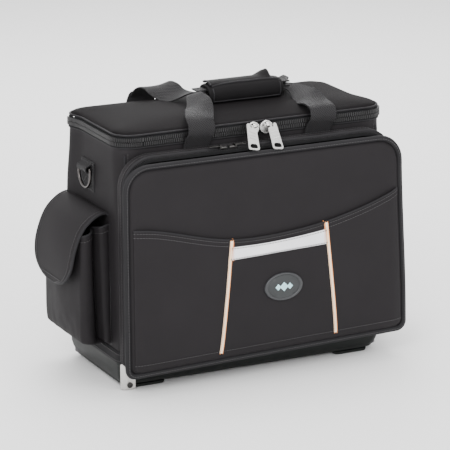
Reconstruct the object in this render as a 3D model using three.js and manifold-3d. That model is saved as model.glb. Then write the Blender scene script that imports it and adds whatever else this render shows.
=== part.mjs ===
// A soft-sided technician's tool bag: zip lid, fold-down front panel, two side pockets with
// flaps, a moulded base tray and a pair of webbing handles that meet in a padded grip.
// Millimetres. +X is the bag's right as you face its front, the front faces -Y, +Z is up,
// and z = 0 is the floor.
import * as THREE from "three";
import { mergeVertices } from "three/addons/utils/BufferGeometryUtils.js";
import Module from "manifold-3d";

const wasm = await Module();
wasm.setup();

// ---------------------------------------------------------------- driving dimensions

const GAP = 0.35; // clearance between pieces that touch
const LEFT = -1;
const RIGHT = 1;
const CENTRE_SHIFT = 2.95; // moves the whole bag back so that its box is centred on the origin

const BODY = { halfWidth: 200, front: -69, rear: 107, radius: 14, wall: 5, foot: 40, top: 343.6, corner: 18 };
const TUB = { spread: 5, radius: 12, wall: 3, ledge: 9, rim: 5, bottom: 3, floor: 6, top: 39.7, softEdge: 8 };
const FOOT = { length: 52, width: 24, inset: 14, setback: 5, radius: 5 };
const GUARD = { wing: 22, sideWing: 4, bottom: 1.5, top: 38, plate: 1.4 };
const RIVET = { radius: 4.2, height: 2.2, fromCorner: 13, z: 8 };
const BASE_BOARD = { inset: 8, thickness: 4 };
const DIVIDER = { halfWidth: 188, y: 18, thickness: 6, top: 322 };
const LOOPS = { count: 4, pitch: 77, width: 66, depth: 14, bottom: 190, top: 225, thickness: 1.6 };

const LID = { overhang: 1, radius: 28, seam: 352, border: 8, borderTop: 358, top: 370, crown: 5 };
const TAPE = { bottom: 344, wall: 4 };
const STIFFENER = { bottom: 353.2, top: 357.6 };
const HINGE_BINDING = { halfWidth: 168, bottom: 332, thickness: 1.4 };

const GUSSET = { halfWidth: 204, bottom: 40, top: 335, radius: 42, lowRadius: 12, wall: 5 };
const GUSSET_Y = { rear: -72.3, front: -92 };
const FRONT_ZIP = { inset: 1.5, wall: 4, depth: 2.4 };

const PANEL = { halfWidth: 206, bottom: 37, top: 324, radius: 30, lowRadius: 9, rear: -95.3, face: -115 };
const PANEL_BORDER = { width: 5, rear: -104, front: -112 };
const ORGANISER = { halfWidth: 190, bottom: 60, top: 250, depth: 9 };
const FRONT_POCKET = { inset: 5, bottom: 48, thickness: 3.7, middle: 210, leftEnd: 241, rightEnd: 251 };
const STRIP = { left: -48, right: 84, top: 203, bottom: 183, thickness: 0.8 };
const CORDS = {
  left: { topX: -57, topZ: 205, lowX: -71 },
  right: { topX: 86, topZ: 208, lowX: 101 },
  lowZ: 50,
  radius: 1.6,
};
const BADGE = { x: 22, z: 134, halfWidth: 29.5, halfHeight: 20, thickness: 2.6, motif: 0.8 };

const REAR_POCKET = { halfWidth: 196, bottom: 56, top: 296, depth: 10, wall: 3, seam: 12 };

const POCKET = { rearY: 95, frontY: -31, depth: 45, wall: 3, top: 230, bottom: 60, slope: 14 };
const FLAP = { hinge: 243, rearY: 99, frontY: -33, thickness: 4, bottom: 140, corner: 34 };
const TOUCH_TAPE = { length: 70, height: 22, thickness: 1.8, z: 152 };

const RING = { y: 35, z: 296, offset: 7.4, halfWidth: 20, drop: 28, shoulder: 8, wire: 4, tabWidth: 32 };
const RING_TAB = { size: 44, bottom: 263, thickness: 2.4, bore: 3.3, outer: 5.2 };

const WEBBING = { width: 40, thickness: 2.2 };
const HANDLE_Y = 19; // centre of the grip, measured front to back
const FRONT_STRAPS = [
  { side: "left", anchorX: -86, edgeX: -80, gripX: -53 },
  { side: "right", anchorX: 101, edgeX: 108, gripX: 109 },
];
const REAR_STRAPS = [
  { side: "left", anchorX: -90, edgeX: -84, gripX: -53 },
  { side: "right", anchorX: 103, edgeX: 106, gripX: 109 },
];
const ANCHOR = { bottom: 300, top: 343.4, rearTop: 349 };
const GRIP = { left: -31, right: 87, z: 388.5, halfDepth: 20, halfHeight: 15.5 };
const CORE = { halfDepth: 10, thickness: 4, frontZ: 385, rearZ: 392, bore: [12, 8] };

const SLIDER = { bodyHalf: 6, height: 12, depth: 4.4, disc: 9.4, discDepth: 1.8, z: 353 };
const LID_SLIDERS = [
  { side: "left", x: 0, way: LEFT, slant: -0.26 },
  { side: "right", x: 20, way: RIGHT, slant: -0.145 },
];
const PULL = {
  length: 43, offset: 5.8, topHalf: 7, lowHalf: 8, neck: 2.6,
  thickness: 1.8, eye: 3, bore: 1.7, pin: 1.2,
};
const PULL_PIVOT = { y: -80.4, z: 357.5, lean: 0.89 };
const FRONT_SLIDERS = [
  { side: "left", x: -56, way: -1 },
  { side: "right", x: -41, way: 1 },
];
const SMALL_SLIDER = { halfLength: 6, halfWidth: 4.6, height: 2.2, y: -93.5 };
const SMALL_PULL = { length: 17, halfWidth: 3.4, thickness: 1.1, bore: 0.75, pin: 0.5, eye: 1.3 };

const ARC = 6; // segments in a quarter round

// ---------------------------------------------------------------- materials

const finish = (color, roughness, metalness = 0) =>
  new THREE.MeshStandardMaterial({ color, roughness, metalness });

const MATERIALS = {
  nylon: finish(0x3a383c, 0.7),
  lining: finish(0x4a484c, 0.85),
  webbing: finish(0x37353a, 0.8),
  padding: finish(0x302f33, 0.75),
  moulding: finish(0x1b1d1c, 0.42),
  board: finish(0x2a2a2c, 0.6),
  coil: finish(0x242327, 0.55),
  nickel: finish(0xb9bbbd, 0.28, 1),
  darkSteel: finish(0x55565a, 0.4, 1),
  reflective: finish(0xe9e9ee, 0.35),
  trim: finish(0xf2c39a, 0.6),
  badge: finish(0x4c4d50, 0.5),
  badgeMotif: finish(0x8fc4cf, 0.45),
};

// ---------------------------------------------------------------- shape helpers

// A rectangle with its own radius at the bottom and at the top corners.
function roundedRect(x0, y0, x1, y1, lowRadius, topRadius = lowRadius) {
  const shape = new THREE.Shape();
  shape.moveTo(x0 + lowRadius, y0);
  shape.lineTo(x1 - lowRadius, y0);
  shape.absarc(x1 - lowRadius, y0 + lowRadius, lowRadius, -Math.PI / 2, 0, false);
  shape.lineTo(x1, y1 - topRadius);
  shape.absarc(x1 - topRadius, y1 - topRadius, topRadius, 0, Math.PI / 2, false);
  shape.lineTo(x0 + topRadius, y1);
  shape.absarc(x0 + topRadius, y1 - topRadius, topRadius, Math.PI / 2, Math.PI, false);
  shape.lineTo(x0, y0 + lowRadius);
  shape.absarc(x0 + lowRadius, y0 + lowRadius, lowRadius, Math.PI, Math.PI * 1.5, false);
  return shape;
}

const polygon = (points) => new THREE.Shape(points.map(([a, b]) => new THREE.Vector2(a, b)));

function withHole(shape, hole) {
  shape.holes.push(new THREE.Path(hole.getPoints(ARC)));
  return shape;
}

const AXES = {
  X: new THREE.Vector3(1, 0, 0),
  Y: new THREE.Vector3(0, 1, 0),
  Z: new THREE.Vector3(0, 0, 1),
};

function extrude(shape, depth, bevel = 0) {
  return new THREE.ExtrudeGeometry(shape, {
    depth: depth - 2 * bevel,
    curveSegments: ARC,
    bevelEnabled: bevel > 0,
    bevelThickness: bevel,
    bevelSize: bevel,
    bevelOffset: -bevel,
    bevelSegments: 2,
  }).translate(0, 0, bevel);
}

// A plan outline (x, y) raised from z0 to z1.
const upright = (shape, z0, z1, bevel) => extrude(shape, z1 - z0, bevel).translate(0, 0, z0);

// A front outline (x, z) that runs from the rear plane y1 forward to y0.
function facing(shape, y0, y1, bevel) {
  const turn = new THREE.Matrix4().makeBasis(AXES.X, AXES.Z, AXES.Y.clone().negate());
  return extrude(shape, y1 - y0, bevel).applyMatrix4(turn).translate(0, y1, 0);
}

// A side outline (y, z) that runs from x0 to x1.
function sideways(shape, x0, x1, bevel) {
  const turn = new THREE.Matrix4().makeBasis(AXES.Y, AXES.Z, AXES.X);
  return extrude(shape, x1 - x0, bevel).applyMatrix4(turn).translate(x0, 0, 0);
}

// A box given by its low and high corners.
function block([x0, y0, z0], [x1, y1, z1]) {
  const box = new THREE.BoxGeometry(x1 - x0, y1 - y0, z1 - z0);
  return box.translate((x0 + x1) / 2, (y0 + y1) / 2, (z0 + z1) / 2);
}

// A round bar along X or Y, centred on a point.
function rod(axis, radius, length, [x, y, z], segments = 16) {
  const bar = new THREE.CylinderGeometry(radius, radius, length, segments);
  if (axis === "X") bar.rotateZ(Math.PI / 2);
  return bar.translate(x, y, z);
}

// The outline of a strap seen edge on: a smooth centre line given its thickness.
function strapOutline(points, thickness, steps) {
  const curve = new THREE.SplineCurve(points.map(([a, b]) => new THREE.Vector2(a, b)));
  const upper = [];
  const lower = [];
  for (let i = 0; i <= steps; i += 1) {
    const at = curve.getPoint(i / steps);
    const along = curve.getTangent(i / steps);
    const across = new THREE.Vector2(-along.y, along.x).multiplyScalar(thickness / 2);
    upper.push(at.clone().add(across));
    lower.unshift(at.clone().sub(across));
  }
  return new THREE.Shape([...upper, ...lower]);
}

// ---------------------------------------------------------------- boolean helpers

function solid(geometry) {
  const bare = geometry.clone();
  bare.deleteAttribute("normal");
  bare.deleteAttribute("uv");
  const merged = mergeVertices(bare, 1e-4);
  return new wasm.Manifold(
    new wasm.Mesh({
      numProp: 3,
      vertProperties: merged.attributes.position.array,
      triVerts: new Uint32Array(merged.index.array),
    }),
  );
}

function geometryOf(manifold) {
  const mesh = manifold.getMesh();
  const geometry = new THREE.BufferGeometry();
  geometry.setAttribute("position", new THREE.BufferAttribute(mesh.vertProperties, 3));
  geometry.setIndex(new THREE.BufferAttribute(mesh.triVerts, 1));
  return geometry;
}

const join = (...parts) => geometryOf(parts.map(solid).reduce((a, b) => a.add(b)));
const cut = (part, ...tools) => geometryOf(tools.map(solid).reduce((a, b) => a.subtract(b), solid(part)));
const common = (a, b) => geometryOf(solid(a).intersect(solid(b)));

// ---------------------------------------------------------------- the bag

const bag = new THREE.Group();
bag.position.y = CENTRE_SHIFT;

function piece(name, geometry, material, side = RIGHT) {
  const mesh = new THREE.Mesh(geometry, MATERIALS[material]);
  mesh.name = name;
  mesh.scale.x = side;
  bag.add(mesh);
  return mesh;
}

// A plan outline of the body, grown by a margin.
function bodyPlan(margin, radius) {
  const x = BODY.halfWidth + margin;
  return roundedRect(-x, BODY.front - margin, x, BODY.rear + margin, radius);
}

function baseTub() {
  const outside = upright(bodyPlan(TUB.spread, TUB.radius), TUB.bottom, TUB.top + TUB.softEdge, TUB.softEdge);
  const above = block([-300, -200, TUB.top], [300, 200, 100]);
  const ledge = TUB.top - TUB.rim;
  const inside = upright(bodyPlan(TUB.spread - TUB.wall, TUB.radius - TUB.wall), TUB.floor, ledge);
  const mouth = upright(bodyPlan(TUB.spread - TUB.ledge, TUB.radius - TUB.wall), ledge - 1, 100);
  const feet = [];
  for (const x of [LEFT, RIGHT]) {
    const front = BODY.front - TUB.spread + FOOT.setback;
    const rear = BODY.rear + TUB.spread - FOOT.setback - FOOT.width;
    for (const y of [front, rear]) {
      const inner = BODY.halfWidth - FOOT.inset - FOOT.length;
      const low = Math.min(x * inner, x * (inner + FOOT.length));
      const foot = roundedRect(low, y, low + FOOT.length, y + FOOT.width, FOOT.radius);
      feet.push(upright(foot, 0, TUB.floor - 1));
    }
  }
  piece("base_tub", join(cut(outside, above, inside, mouth), ...feet), "moulding");
}

// A plate folded over the tray's front left corner, with one rivet through its front.
function cornerGuard() {
  const inner = bodyPlan(TUB.spread + GAP, TUB.radius + GAP);
  const outer = bodyPlan(TUB.spread + GAP + GUARD.plate, TUB.radius + GAP + GUARD.plate);
  const wrap = upright(withHole(outer, inner), GUARD.bottom, GUARD.top);
  const x = -BODY.halfWidth - TUB.spread;
  const y = BODY.front - TUB.spread;
  const corner = block([x - 4, y - 4, 0], [x + GUARD.wing, y + GUARD.sideWing, GUARD.top + 1]);
  piece("corner_guard_front_left", common(wrap, corner), "nickel");

  const rivet = new THREE.CylinderGeometry(RIVET.radius * 0.7, RIVET.radius, RIVET.height, 16);
  rivet.rotateX(Math.PI);
  const face = y - (GAP + GUARD.plate + GAP + RIVET.height / 2);
  piece("corner_rivet_front_left", rivet, "darkSteel").position.set(x + RIVET.fromCorner, face, RIVET.z);
}

function insides() {
  const boardTop = TUB.floor + GAP + BASE_BOARD.thickness;
  const board = bodyPlan(-BASE_BOARD.inset, TUB.radius - BASE_BOARD.inset / 2);
  piece("base_board", upright(board, TUB.floor + GAP, boardTop), "board");

  const outline = roundedRect(-DIVIDER.halfWidth, boardTop + GAP, DIVIDER.halfWidth, DIVIDER.top, 3, 20);
  const front = DIVIDER.y - DIVIDER.thickness / 2;
  piece("divider_board", facing(outline, front, front + DIVIDER.thickness), "lining");

  // one elastic band sewn down between arches that hold tools
  const band = [[-LOOPS.count * LOOPS.pitch / 2, 0]];
  for (let i = 0; i < LOOPS.count; i += 1) {
    const start = (i - LOOPS.count / 2) * LOOPS.pitch;
    const margin = (LOOPS.pitch - LOOPS.width) / 2;
    for (const [share, height] of [[0, 0.12], [0.25, 0.85], [0.5, 1], [0.75, 0.85], [1, 0.12]]) {
      band.push([start + margin + share * LOOPS.width, -height * LOOPS.depth]);
    }
  }
  band.push([LOOPS.count * LOOPS.pitch / 2, 0]);
  const under = band.map(([x, y]) => [x, y - LOOPS.thickness]);
  const loops = upright(polygon([...under, ...band.reverse()]), LOOPS.bottom, LOOPS.top);
  piece("divider_loops", loops.translate(0, front - GAP, 0), "webbing");
}

function bodyWalls() {
  const split = BODY.halfWidth - BODY.corner;
  const ring = withHole(bodyPlan(0, BODY.radius), bodyPlan(-BODY.wall, BODY.radius - BODY.wall));
  const shell = upright(ring, BODY.foot, BODY.top);
  const high = BODY.top + 1;
  const regions = {
    front_wall: block([-split, -200, 0], [split, 0, high]),
    rear_wall: block([-split, 0, 0], [split, 200, high]),
    left_wall: block([-300, -200, 0], [-split - GAP, 200, high]),
    right_wall: block([split + GAP, -200, 0], [300, 200, high]),
  };
  for (const [name, region] of Object.entries(regions)) {
    piece(name, common(shell, region), "nylon");
  }
}

function topRim() {
  const inner = bodyPlan(LID.overhang - TAPE.wall, LID.radius - TAPE.wall);
  const tape = withHole(bodyPlan(LID.overhang, LID.radius), inner);
  piece("body_zip_tape", upright(tape, TAPE.bottom, LID.seam - GAP), "coil");
  const rear = BODY.rear + LID.overhang + GAP;
  const low = [-HINGE_BINDING.halfWidth, rear, HINGE_BINDING.bottom];
  const high = [HINGE_BINDING.halfWidth, rear + HINGE_BINDING.thickness, LID.seam - 1];
  piece("lid_hinge_binding", block(low, high), "nylon");
}

function lid() {
  const outer = bodyPlan(LID.overhang, LID.radius);
  const inner = bodyPlan(LID.overhang - LID.border, LID.radius - LID.border);
  piece("lid_border", upright(withHole(outer, inner), LID.seam + GAP, LID.borderTop), "coil");
  const cover = bodyPlan(LID.overhang, LID.radius);
  const low = LID.borderTop + GAP;
  const domed = upright(cover, low - LID.crown, LID.top, LID.crown);
  piece("lid_panel", cut(domed, block([-300, -200, 0], [300, 200, low])), "nylon");
  const plate = bodyPlan(LID.overhang - LID.border - 1, LID.radius - LID.border - 1);
  piece("lid_stiffener", upright(plate, STIFFENER.bottom, STIFFENER.top), "lining");
}

function frontCompartment() {
  const { halfWidth: w, bottom, top, radius, lowRadius, wall } = GUSSET;
  const outer = roundedRect(-w, bottom, w, top, lowRadius, radius);
  const inner = roundedRect(-w + wall, bottom + wall, w - wall, top - wall, lowRadius - wall, radius - wall);
  piece("front_gusset", facing(withHole(outer, inner), GUSSET_Y.front, GUSSET_Y.rear), "nylon");

  const m = FRONT_ZIP.inset;
  const n = m + FRONT_ZIP.wall;
  const band = roundedRect(-w + m, bottom + m, w - m, top - m, lowRadius - m, radius - m);
  const hole = roundedRect(-w + n, bottom + n, w - n, top - n, lowRadius - n, radius - n);
  const near = GUSSET_Y.front - GAP;
  piece("front_zip", facing(withHole(band, hole), near - FRONT_ZIP.depth, near), "coil");
}

function panelOutline(margin) {
  const x = PANEL.halfWidth + margin;
  const low = PANEL.bottom - margin;
  return roundedRect(-x, low, x, PANEL.top + margin, PANEL.lowRadius + margin, PANEL.radius + margin);
}

// The pocket layer's top edge dips in the middle and climbs to the right.
function pocketLayer() {
  const { inset, bottom, middle, leftEnd, rightEnd } = FRONT_POCKET;
  const w = PANEL.halfWidth - inset;
  const shape = new THREE.Shape();
  shape.moveTo(-w + 6, bottom);
  shape.lineTo(w - 6, bottom);
  shape.quadraticCurveTo(w, bottom, w, bottom + 6);
  shape.lineTo(w, rightEnd);
  shape.bezierCurveTo(w * 0.55, middle + 6, w * 0.3, middle, -w * 0.1, middle);
  shape.bezierCurveTo(-w * 0.45, middle, -w * 0.7, middle + 12, -w, leftEnd);
  shape.lineTo(-w, bottom + 6);
  shape.quadraticCurveTo(-w, bottom, -w + 6, bottom);
  return shape;
}

function trimCord(name, { topX, topZ, lowX }, surface) {
  const run = Math.hypot(topX - lowX, topZ - CORDS.lowZ);
  const cord = new THREE.CylinderGeometry(CORDS.radius, CORDS.radius, run, 8);
  const mesh = piece(name, cord, "trim");
  mesh.rotation.set(Math.PI / 2, Math.atan2(topX - lowX, topZ - CORDS.lowZ), 0, "YXZ");
  mesh.position.set((topX + lowX) / 2, surface - CORDS.radius, (topZ + CORDS.lowZ) / 2);
}

function frontPanel() {
  piece("panel_core", facing(panelOutline(0), PANEL.face, PANEL.rear, 2), "nylon");
  const ring = withHole(panelOutline(PANEL_BORDER.width), panelOutline(GAP));
  piece("panel_border", facing(ring, PANEL_BORDER.front, PANEL_BORDER.rear), "webbing");

  const { halfWidth, bottom, top, depth } = ORGANISER;
  const sleeve = roundedRect(-halfWidth, bottom, halfWidth, top, 5);
  const inside = PANEL.rear + GAP;
  piece("panel_organiser", facing(sleeve, inside, inside + depth), "lining");

  const layer = PANEL.face - GAP;
  const surface = layer - FRONT_POCKET.thickness - GAP;
  piece("front_pocket", facing(pocketLayer(), layer - FRONT_POCKET.thickness, layer), "nylon");
  const strip = roundedRect(STRIP.left, STRIP.bottom, STRIP.right, STRIP.top, 1);
  piece("reflective_strip", facing(strip, surface - STRIP.thickness, surface), "reflective");
  trimCord("trim_cord_left", CORDS.left, surface);
  trimCord("trim_cord_right", CORDS.right, surface);
}

function badge() {
  const surface = PANEL.face - GAP - FRONT_POCKET.thickness - GAP;
  const oval = new THREE.Shape();
  oval.absellipse(BADGE.x, BADGE.z, BADGE.halfWidth, BADGE.halfHeight, 0, Math.PI * 2, false, 0);
  piece("badge_plate", facing(oval, surface - BADGE.thickness, surface, 0.6), "badge");
  const { x, z } = BADGE;
  const reach = BADGE.halfWidth * 0.55;
  const rise = BADGE.halfHeight * 0.4;
  const lozenge = polygon([[x - reach, z], [x, z - rise], [x + reach, z], [x, z + rise]]);
  const top = surface - BADGE.thickness - GAP;
  piece("badge_motif", facing(lozenge, top - BADGE.motif, top), "badgeMotif");
}

// A flat sleeve for papers, sewn to the rear wall and open at its top.
function rearPocket() {
  const { halfWidth: w, bottom, top, depth, wall, seam } = REAR_POCKET;
  const near = BODY.rear + GAP;
  const outside = facing(roundedRect(-w, bottom, w, top, 14, 4), near, near + depth);
  const inside = block([-w + seam, near - 1, bottom + seam], [w - seam, near + depth - wall, top + 1]);
  piece("rear_pocket", cut(outside, inside), "nylon");
}

function sidePocket(name, side) {
  const { rearY, frontY, depth, wall, top, bottom, slope } = POCKET;
  const x0 = BODY.halfWidth + GAP;
  const x1 = x0 + depth;
  const section = polygon([
    [x0, bottom],
    [x1 - 6, bottom + slope],
    [x1, bottom + slope + 8],
    [x1, top],
    [x0, top],
  ]);
  const outside = facing(section, frontY, rearY);
  const room = polygon([
    [x0 - 1, bottom + wall + 1],
    [x1 - wall - 5, bottom + slope + wall],
    [x1 - wall, bottom + slope + wall + 8],
    [x1 - wall, top + 1],
    [x0 - 1, top + 1],
  ]);
  piece(`${name}_pocket`, cut(outside, facing(room, frontY + wall, rearY - wall)), "nylon", side);
  const tapeY = (rearY + frontY) / 2;
  const { length, height, thickness, z } = TOUCH_TAPE;
  const low = [x1 + GAP, tapeY - length / 2, z];
  const high = [x1 + GAP + thickness, tapeY + length / 2, z + height];
  piece(`${name}_pocket_loop_tape`, block(low, high), "coil", side);
}

// The flap starts at its seam on the body, bulges over the pocket and hangs down outside it.
function pocketFlap(name, side) {
  const { hinge, rearY, frontY, thickness, bottom, corner } = FLAP;
  const x0 = BODY.halfWidth + GAP + thickness / 2;
  const outside = BODY.halfWidth + 2 * GAP + POCKET.depth + 2 * TOUCH_TAPE.thickness;
  const line = [
    [x0, hinge],
    [x0 + 9, hinge + 1.5],
    [x0 + 29, hinge - 1],
    [outside + 5, hinge - 15],
    [outside + 10, hinge - 46],
    [outside + 7, bottom + 28],
    [outside + GAP + thickness / 2 + 0.6, bottom],
  ];
  const swept = facing(strapOutline(line, thickness, 18), frontY, rearY);
  const keep = new THREE.Shape();
  keep.moveTo(frontY, hinge + 30);
  keep.lineTo(frontY, bottom + corner);
  keep.absarc(frontY + corner, bottom + corner, corner, Math.PI, Math.PI * 1.5, false);
  keep.lineTo(rearY - corner, bottom - 1);
  keep.absarc(rearY - corner, bottom + corner, corner, -Math.PI / 2, 0, false);
  keep.lineTo(rearY, hinge + 30);
  piece(`${name}_flap`, common(swept, sideways(keep, 150, 320)), "nylon", side);

  const tapeY = (POCKET.rearY + POCKET.frontY) / 2;
  const { length, height, thickness: tape, z } = TOUCH_TAPE;
  const near = BODY.halfWidth + 2 * GAP + POCKET.depth + tape + GAP;
  const low = [near, tapeY - length / 2, z];
  const high = [near + tape, tapeY + length / 2, z + height];
  piece(`${name}_flap_hook_tape`, block(low, high), "coil", side);
}

// A letter D on its back: a straight bar above, short sides and a half-oval bow below.
function ringOutline(margin) {
  const { y, z, halfWidth, drop, shoulder } = RING;
  const reach = halfWidth + margin;
  const shape = new THREE.Shape();
  shape.moveTo(y - reach, z + margin);
  shape.lineTo(y - reach, z - shoulder);
  shape.absellipse(y, z - shoulder, reach, drop - shoulder + margin, Math.PI, Math.PI * 2, false, 0);
  shape.lineTo(y + reach, z + margin);
  return shape;
}

function dRing(name, side) {
  const x = BODY.halfWidth + RING.offset;
  const half = RING.wire / 2;
  const ring = withHole(ringOutline(half), ringOutline(-half));
  piece(`${name}_ring`, sideways(ring, x - half, x + half, 1), "nickel", side);

  const { size, bottom, thickness, bore, outer: around } = RING_TAB;
  const { y, z, tabWidth } = RING;
  const wall = BODY.halfWidth + GAP;
  const patch = block([wall, y - size / 2, bottom], [wall + thickness, y + size / 2, bottom + size]);
  const sleeve = rod("Y", around, tabWidth, [x, y, z]);
  const web = block([wall, y - tabWidth / 2, z], [x, y + tabWidth / 2, z + around]);
  const hollow = rod("Y", bore, tabWidth + 2, [x, y, z]);
  piece(`${name}_ring_tab`, cut(join(patch, sleeve, web), hollow), "webbing", side);
}

// A flat strap in a side outline, given its width and leaned sideways towards the grip.
function leaningStrap(outline, startX, startY, endX, endY) {
  const strap = sideways(outline, -WEBBING.width / 2, WEBBING.width / 2);
  const slope = (endX - startX) / (endY - startY);
  const lean = new THREE.Matrix4().makeShear(0, 0, slope, 0, 0, 0);
  return strap.translate(0, -startY, 0).applyMatrix4(lean).translate(startX, startY, 0);
}

function handleWebbing(name, route, straps, start, coreZ) {
  const outline = strapOutline(route, WEBBING.thickness, 18);
  const end = HANDLE_Y;
  const sides = straps.map((s) => leaningStrap(outline, s.edgeX, start, s.gripX, end));
  const half = CORE.halfDepth;
  const core = block(
    [straps[0].gripX - 14, end - half, coreZ - CORE.thickness / 2],
    [straps[1].gripX + 14, end + half, coreZ + CORE.thickness / 2],
  );
  piece(name, join(...sides, core), "webbing");
}

function handles() {
  const front = BODY.front - GAP - WEBBING.thickness / 2;
  const rear = BODY.rear + LID.overhang + HINGE_BINDING.thickness + 2 * GAP + WEBBING.thickness / 2;
  const half = WEBBING.thickness / 2;
  for (const { side, anchorX } of FRONT_STRAPS) {
    const low = [anchorX - WEBBING.width / 2, front - half, ANCHOR.bottom];
    const high = [anchorX + WEBBING.width / 2, front + half, ANCHOR.top];
    piece(`strap_anchor_front_${side}`, block(low, high), "webbing");
  }
  for (const { side, anchorX } of REAR_STRAPS) {
    const low = [anchorX - WEBBING.width / 2, rear - half, ANCHOR.bottom];
    const high = [anchorX + WEBBING.width / 2, rear + half, ANCHOR.rearTop];
    piece(`strap_anchor_rear_${side}`, block(low, high), "webbing");
  }
  const frontRoute = [
    [front - 1, ANCHOR.top + 1],
    [front - 9, LID.seam + 3],
    [front - 12, LID.top - 7],
    [front - 5, LID.top + 4],
    [front + 16, LID.top + 7.5],
    [-20, CORE.frontZ - 2],
    [HANDLE_Y, CORE.frontZ],
  ];
  handleWebbing("front_handle_webbing", frontRoute, FRONT_STRAPS, front - 12, CORE.frontZ);
  const rearRoute = [
    [rear + 1, LID.seam + 1],
    [rear + 5, LID.top - 8],
    [rear + 1, LID.top + 5],
    [rear - 16, LID.top + 16],
    [75, CORE.rearZ + 3],
    [45, CORE.rearZ + 1],
    [HANDLE_Y, CORE.rearZ],
  ];
  handleWebbing("rear_handle_webbing", rearRoute, REAR_STRAPS, rear, CORE.rearZ);
}

// The padded wrap round both webbings, a sleeve with an oval section.
function grip() {
  const oval = new THREE.Shape();
  oval.absellipse(HANDLE_Y, GRIP.z, GRIP.halfDepth, GRIP.halfHeight, 0, Math.PI * 2, false, 0);
  const [dy, dz] = CORE.bore;
  const low = [GRIP.left - 5, HANDLE_Y - dy, GRIP.z - dz];
  const bore = block(low, [GRIP.right + 5, HANDLE_Y + dy, GRIP.z + dz]);
  piece("grip_wrap", cut(sideways(oval, GRIP.left, GRIP.right, 3), bore), "padding");
}

// A large slider on the lid's zip: body, round lock plate, and a pin that carries the pull.
function lidSlider({ side, x }) {
  const front = BODY.front - LID.overhang - GAP;
  const { bodyHalf, height, depth, disc, discDepth, z } = SLIDER;
  const body = block([-bodyHalf, front - depth, z - height / 2], [bodyHalf, front, z + height / 2]);
  const plate = rod("Y", disc, discDepth, [0, front - depth - discDepth / 2 + 0.2, z], 24);
  const pinY = PULL_PIVOT.y;
  const cheeks = [LEFT, RIGHT].map((s) =>
    block(
      [Math.min(s * 4.4, s * 6), pinY - PULL.eye + 0.6, PULL_PIVOT.z - 2.2],
      [Math.max(s * 4.4, s * 6), front - depth, PULL_PIVOT.z + 2.2],
    ),
  );
  const pin = rod("X", PULL.pin, 11, [0, pinY, PULL_PIVOT.z], 12);
  piece(`lid_slider_${side}`, join(body, plate, ...cheeks, pin), "nickel").position.x = x;
}

// A long pull with a slot near its end. Its blade stands to one side of its eye, leans out and
// rests over the panel's top edge.
function lidPull({ side, x, way, slant }) {
  const { length, offset, topHalf, lowHalf, neck, thickness, eye, bore } = PULL;
  const shoulder = -eye - 3.4;
  const blade = new THREE.Shape();
  blade.moveTo(-topHalf, shoulder);
  blade.lineTo(-lowHalf, -length + 3);
  blade.quadraticCurveTo(-lowHalf, -length, -lowHalf + 3, -length);
  blade.lineTo(lowHalf - 3, -length);
  blade.quadraticCurveTo(lowHalf, -length, lowHalf, -length + 3);
  blade.lineTo(topHalf, shoulder);
  const slot = roundedRect(-lowHalf + 3, -length + 3, lowHalf - 3, -length + 8.4, 1, 2.4);
  const plate = facing(withHole(blade, slot), -thickness / 2, thickness / 2, 0.4);
  plate.translate(way * offset, 0, 0);
  const stem = block([-neck, -thickness / 2, shoulder - 1], [neck, thickness / 2, 0]);
  const flat = join(plate, stem);
  flat.translate(0, 0, eye).rotateY(-slant).translate(0, 0, -eye);
  const ring = rod("X", eye, 5.2, [0, 0, 0], 14);
  const hole = rod("X", bore, 20, [0, 0, 0], 14);
  const clear = block([-12, -4, -eye + 0.6], [12, 4, 20]);
  const mesh = piece(`lid_pull_${side}`, cut(join(cut(flat, clear), ring), hole), "nickel");
  mesh.position.set(x, PULL_PIVOT.y, PULL_PIVOT.z);
  mesh.rotation.x = -PULL_PIVOT.lean;
}

// A small slider on top of the front compartment's zip, with a flat pull that lies along the tape.
function frontSlider({ side, x, way }) {
  const { halfLength, halfWidth, height, y } = SMALL_SLIDER;
  const low = GUSSET.top + GAP;
  const body = block([-halfLength, y - halfWidth, low], [halfLength, y + halfWidth, low + height]);
  const pivotZ = low + height + SMALL_PULL.eye + GAP;
  const pin = rod("Y", SMALL_PULL.pin, 2 * halfWidth, [way * 4, y, pivotZ], 8);
  const posts = [LEFT, RIGHT].map((s) =>
    block(
      [way * 4 - 1, Math.min(y + s * 3.8, y + s * halfWidth), low + height - 0.4],
      [way * 4 + 1, Math.max(y + s * 3.8, y + s * halfWidth), pivotZ + 0.7],
    ),
  );
  piece(`front_slider_${side}`, join(body, pin, ...posts), "darkSteel").position.x = x;

  const { length, thickness, bore, eye } = SMALL_PULL;
  const blade = block([0.6, -SMALL_PULL.halfWidth, -0.45], [length, SMALL_PULL.halfWidth, -0.45 + thickness]);
  const ring = rod("Y", eye, 2 * SMALL_PULL.halfWidth, [0, 0, 0], 10);
  const hole = rod("Y", bore, 20, [0, 0, 0], 10);
  const pull = piece(`front_pull_${side}`, cut(join(blade, ring), hole), "darkSteel", way);
  pull.position.set(x + way * 4, y, pivotZ);
}

baseTub();
cornerGuard();
insides();
bodyWalls();
topRim();
lid();
frontCompartment();
frontPanel();
badge();
rearPocket();
for (const [name, side] of [["left", LEFT], ["right", RIGHT]]) {
  sidePocket(name, side);
  pocketFlap(name, side);
  dRing(name, side);
}
handles();
grip();
LID_SLIDERS.forEach(lidSlider);
LID_SLIDERS.forEach(lidPull);
FRONT_SLIDERS.forEach(frontSlider);

export default bag;
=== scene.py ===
"""The looks of a technician's tool bag: black nylon over padding, webbing handles, coil zips,
nickel hardware and a moulded base tray. Lengths are in millimetres until a mesh is made."""

import math

import bmesh
import bpy
from mathutils import Matrix, Vector, noise
from mathutils.bvhtree import BVHTree


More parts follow.
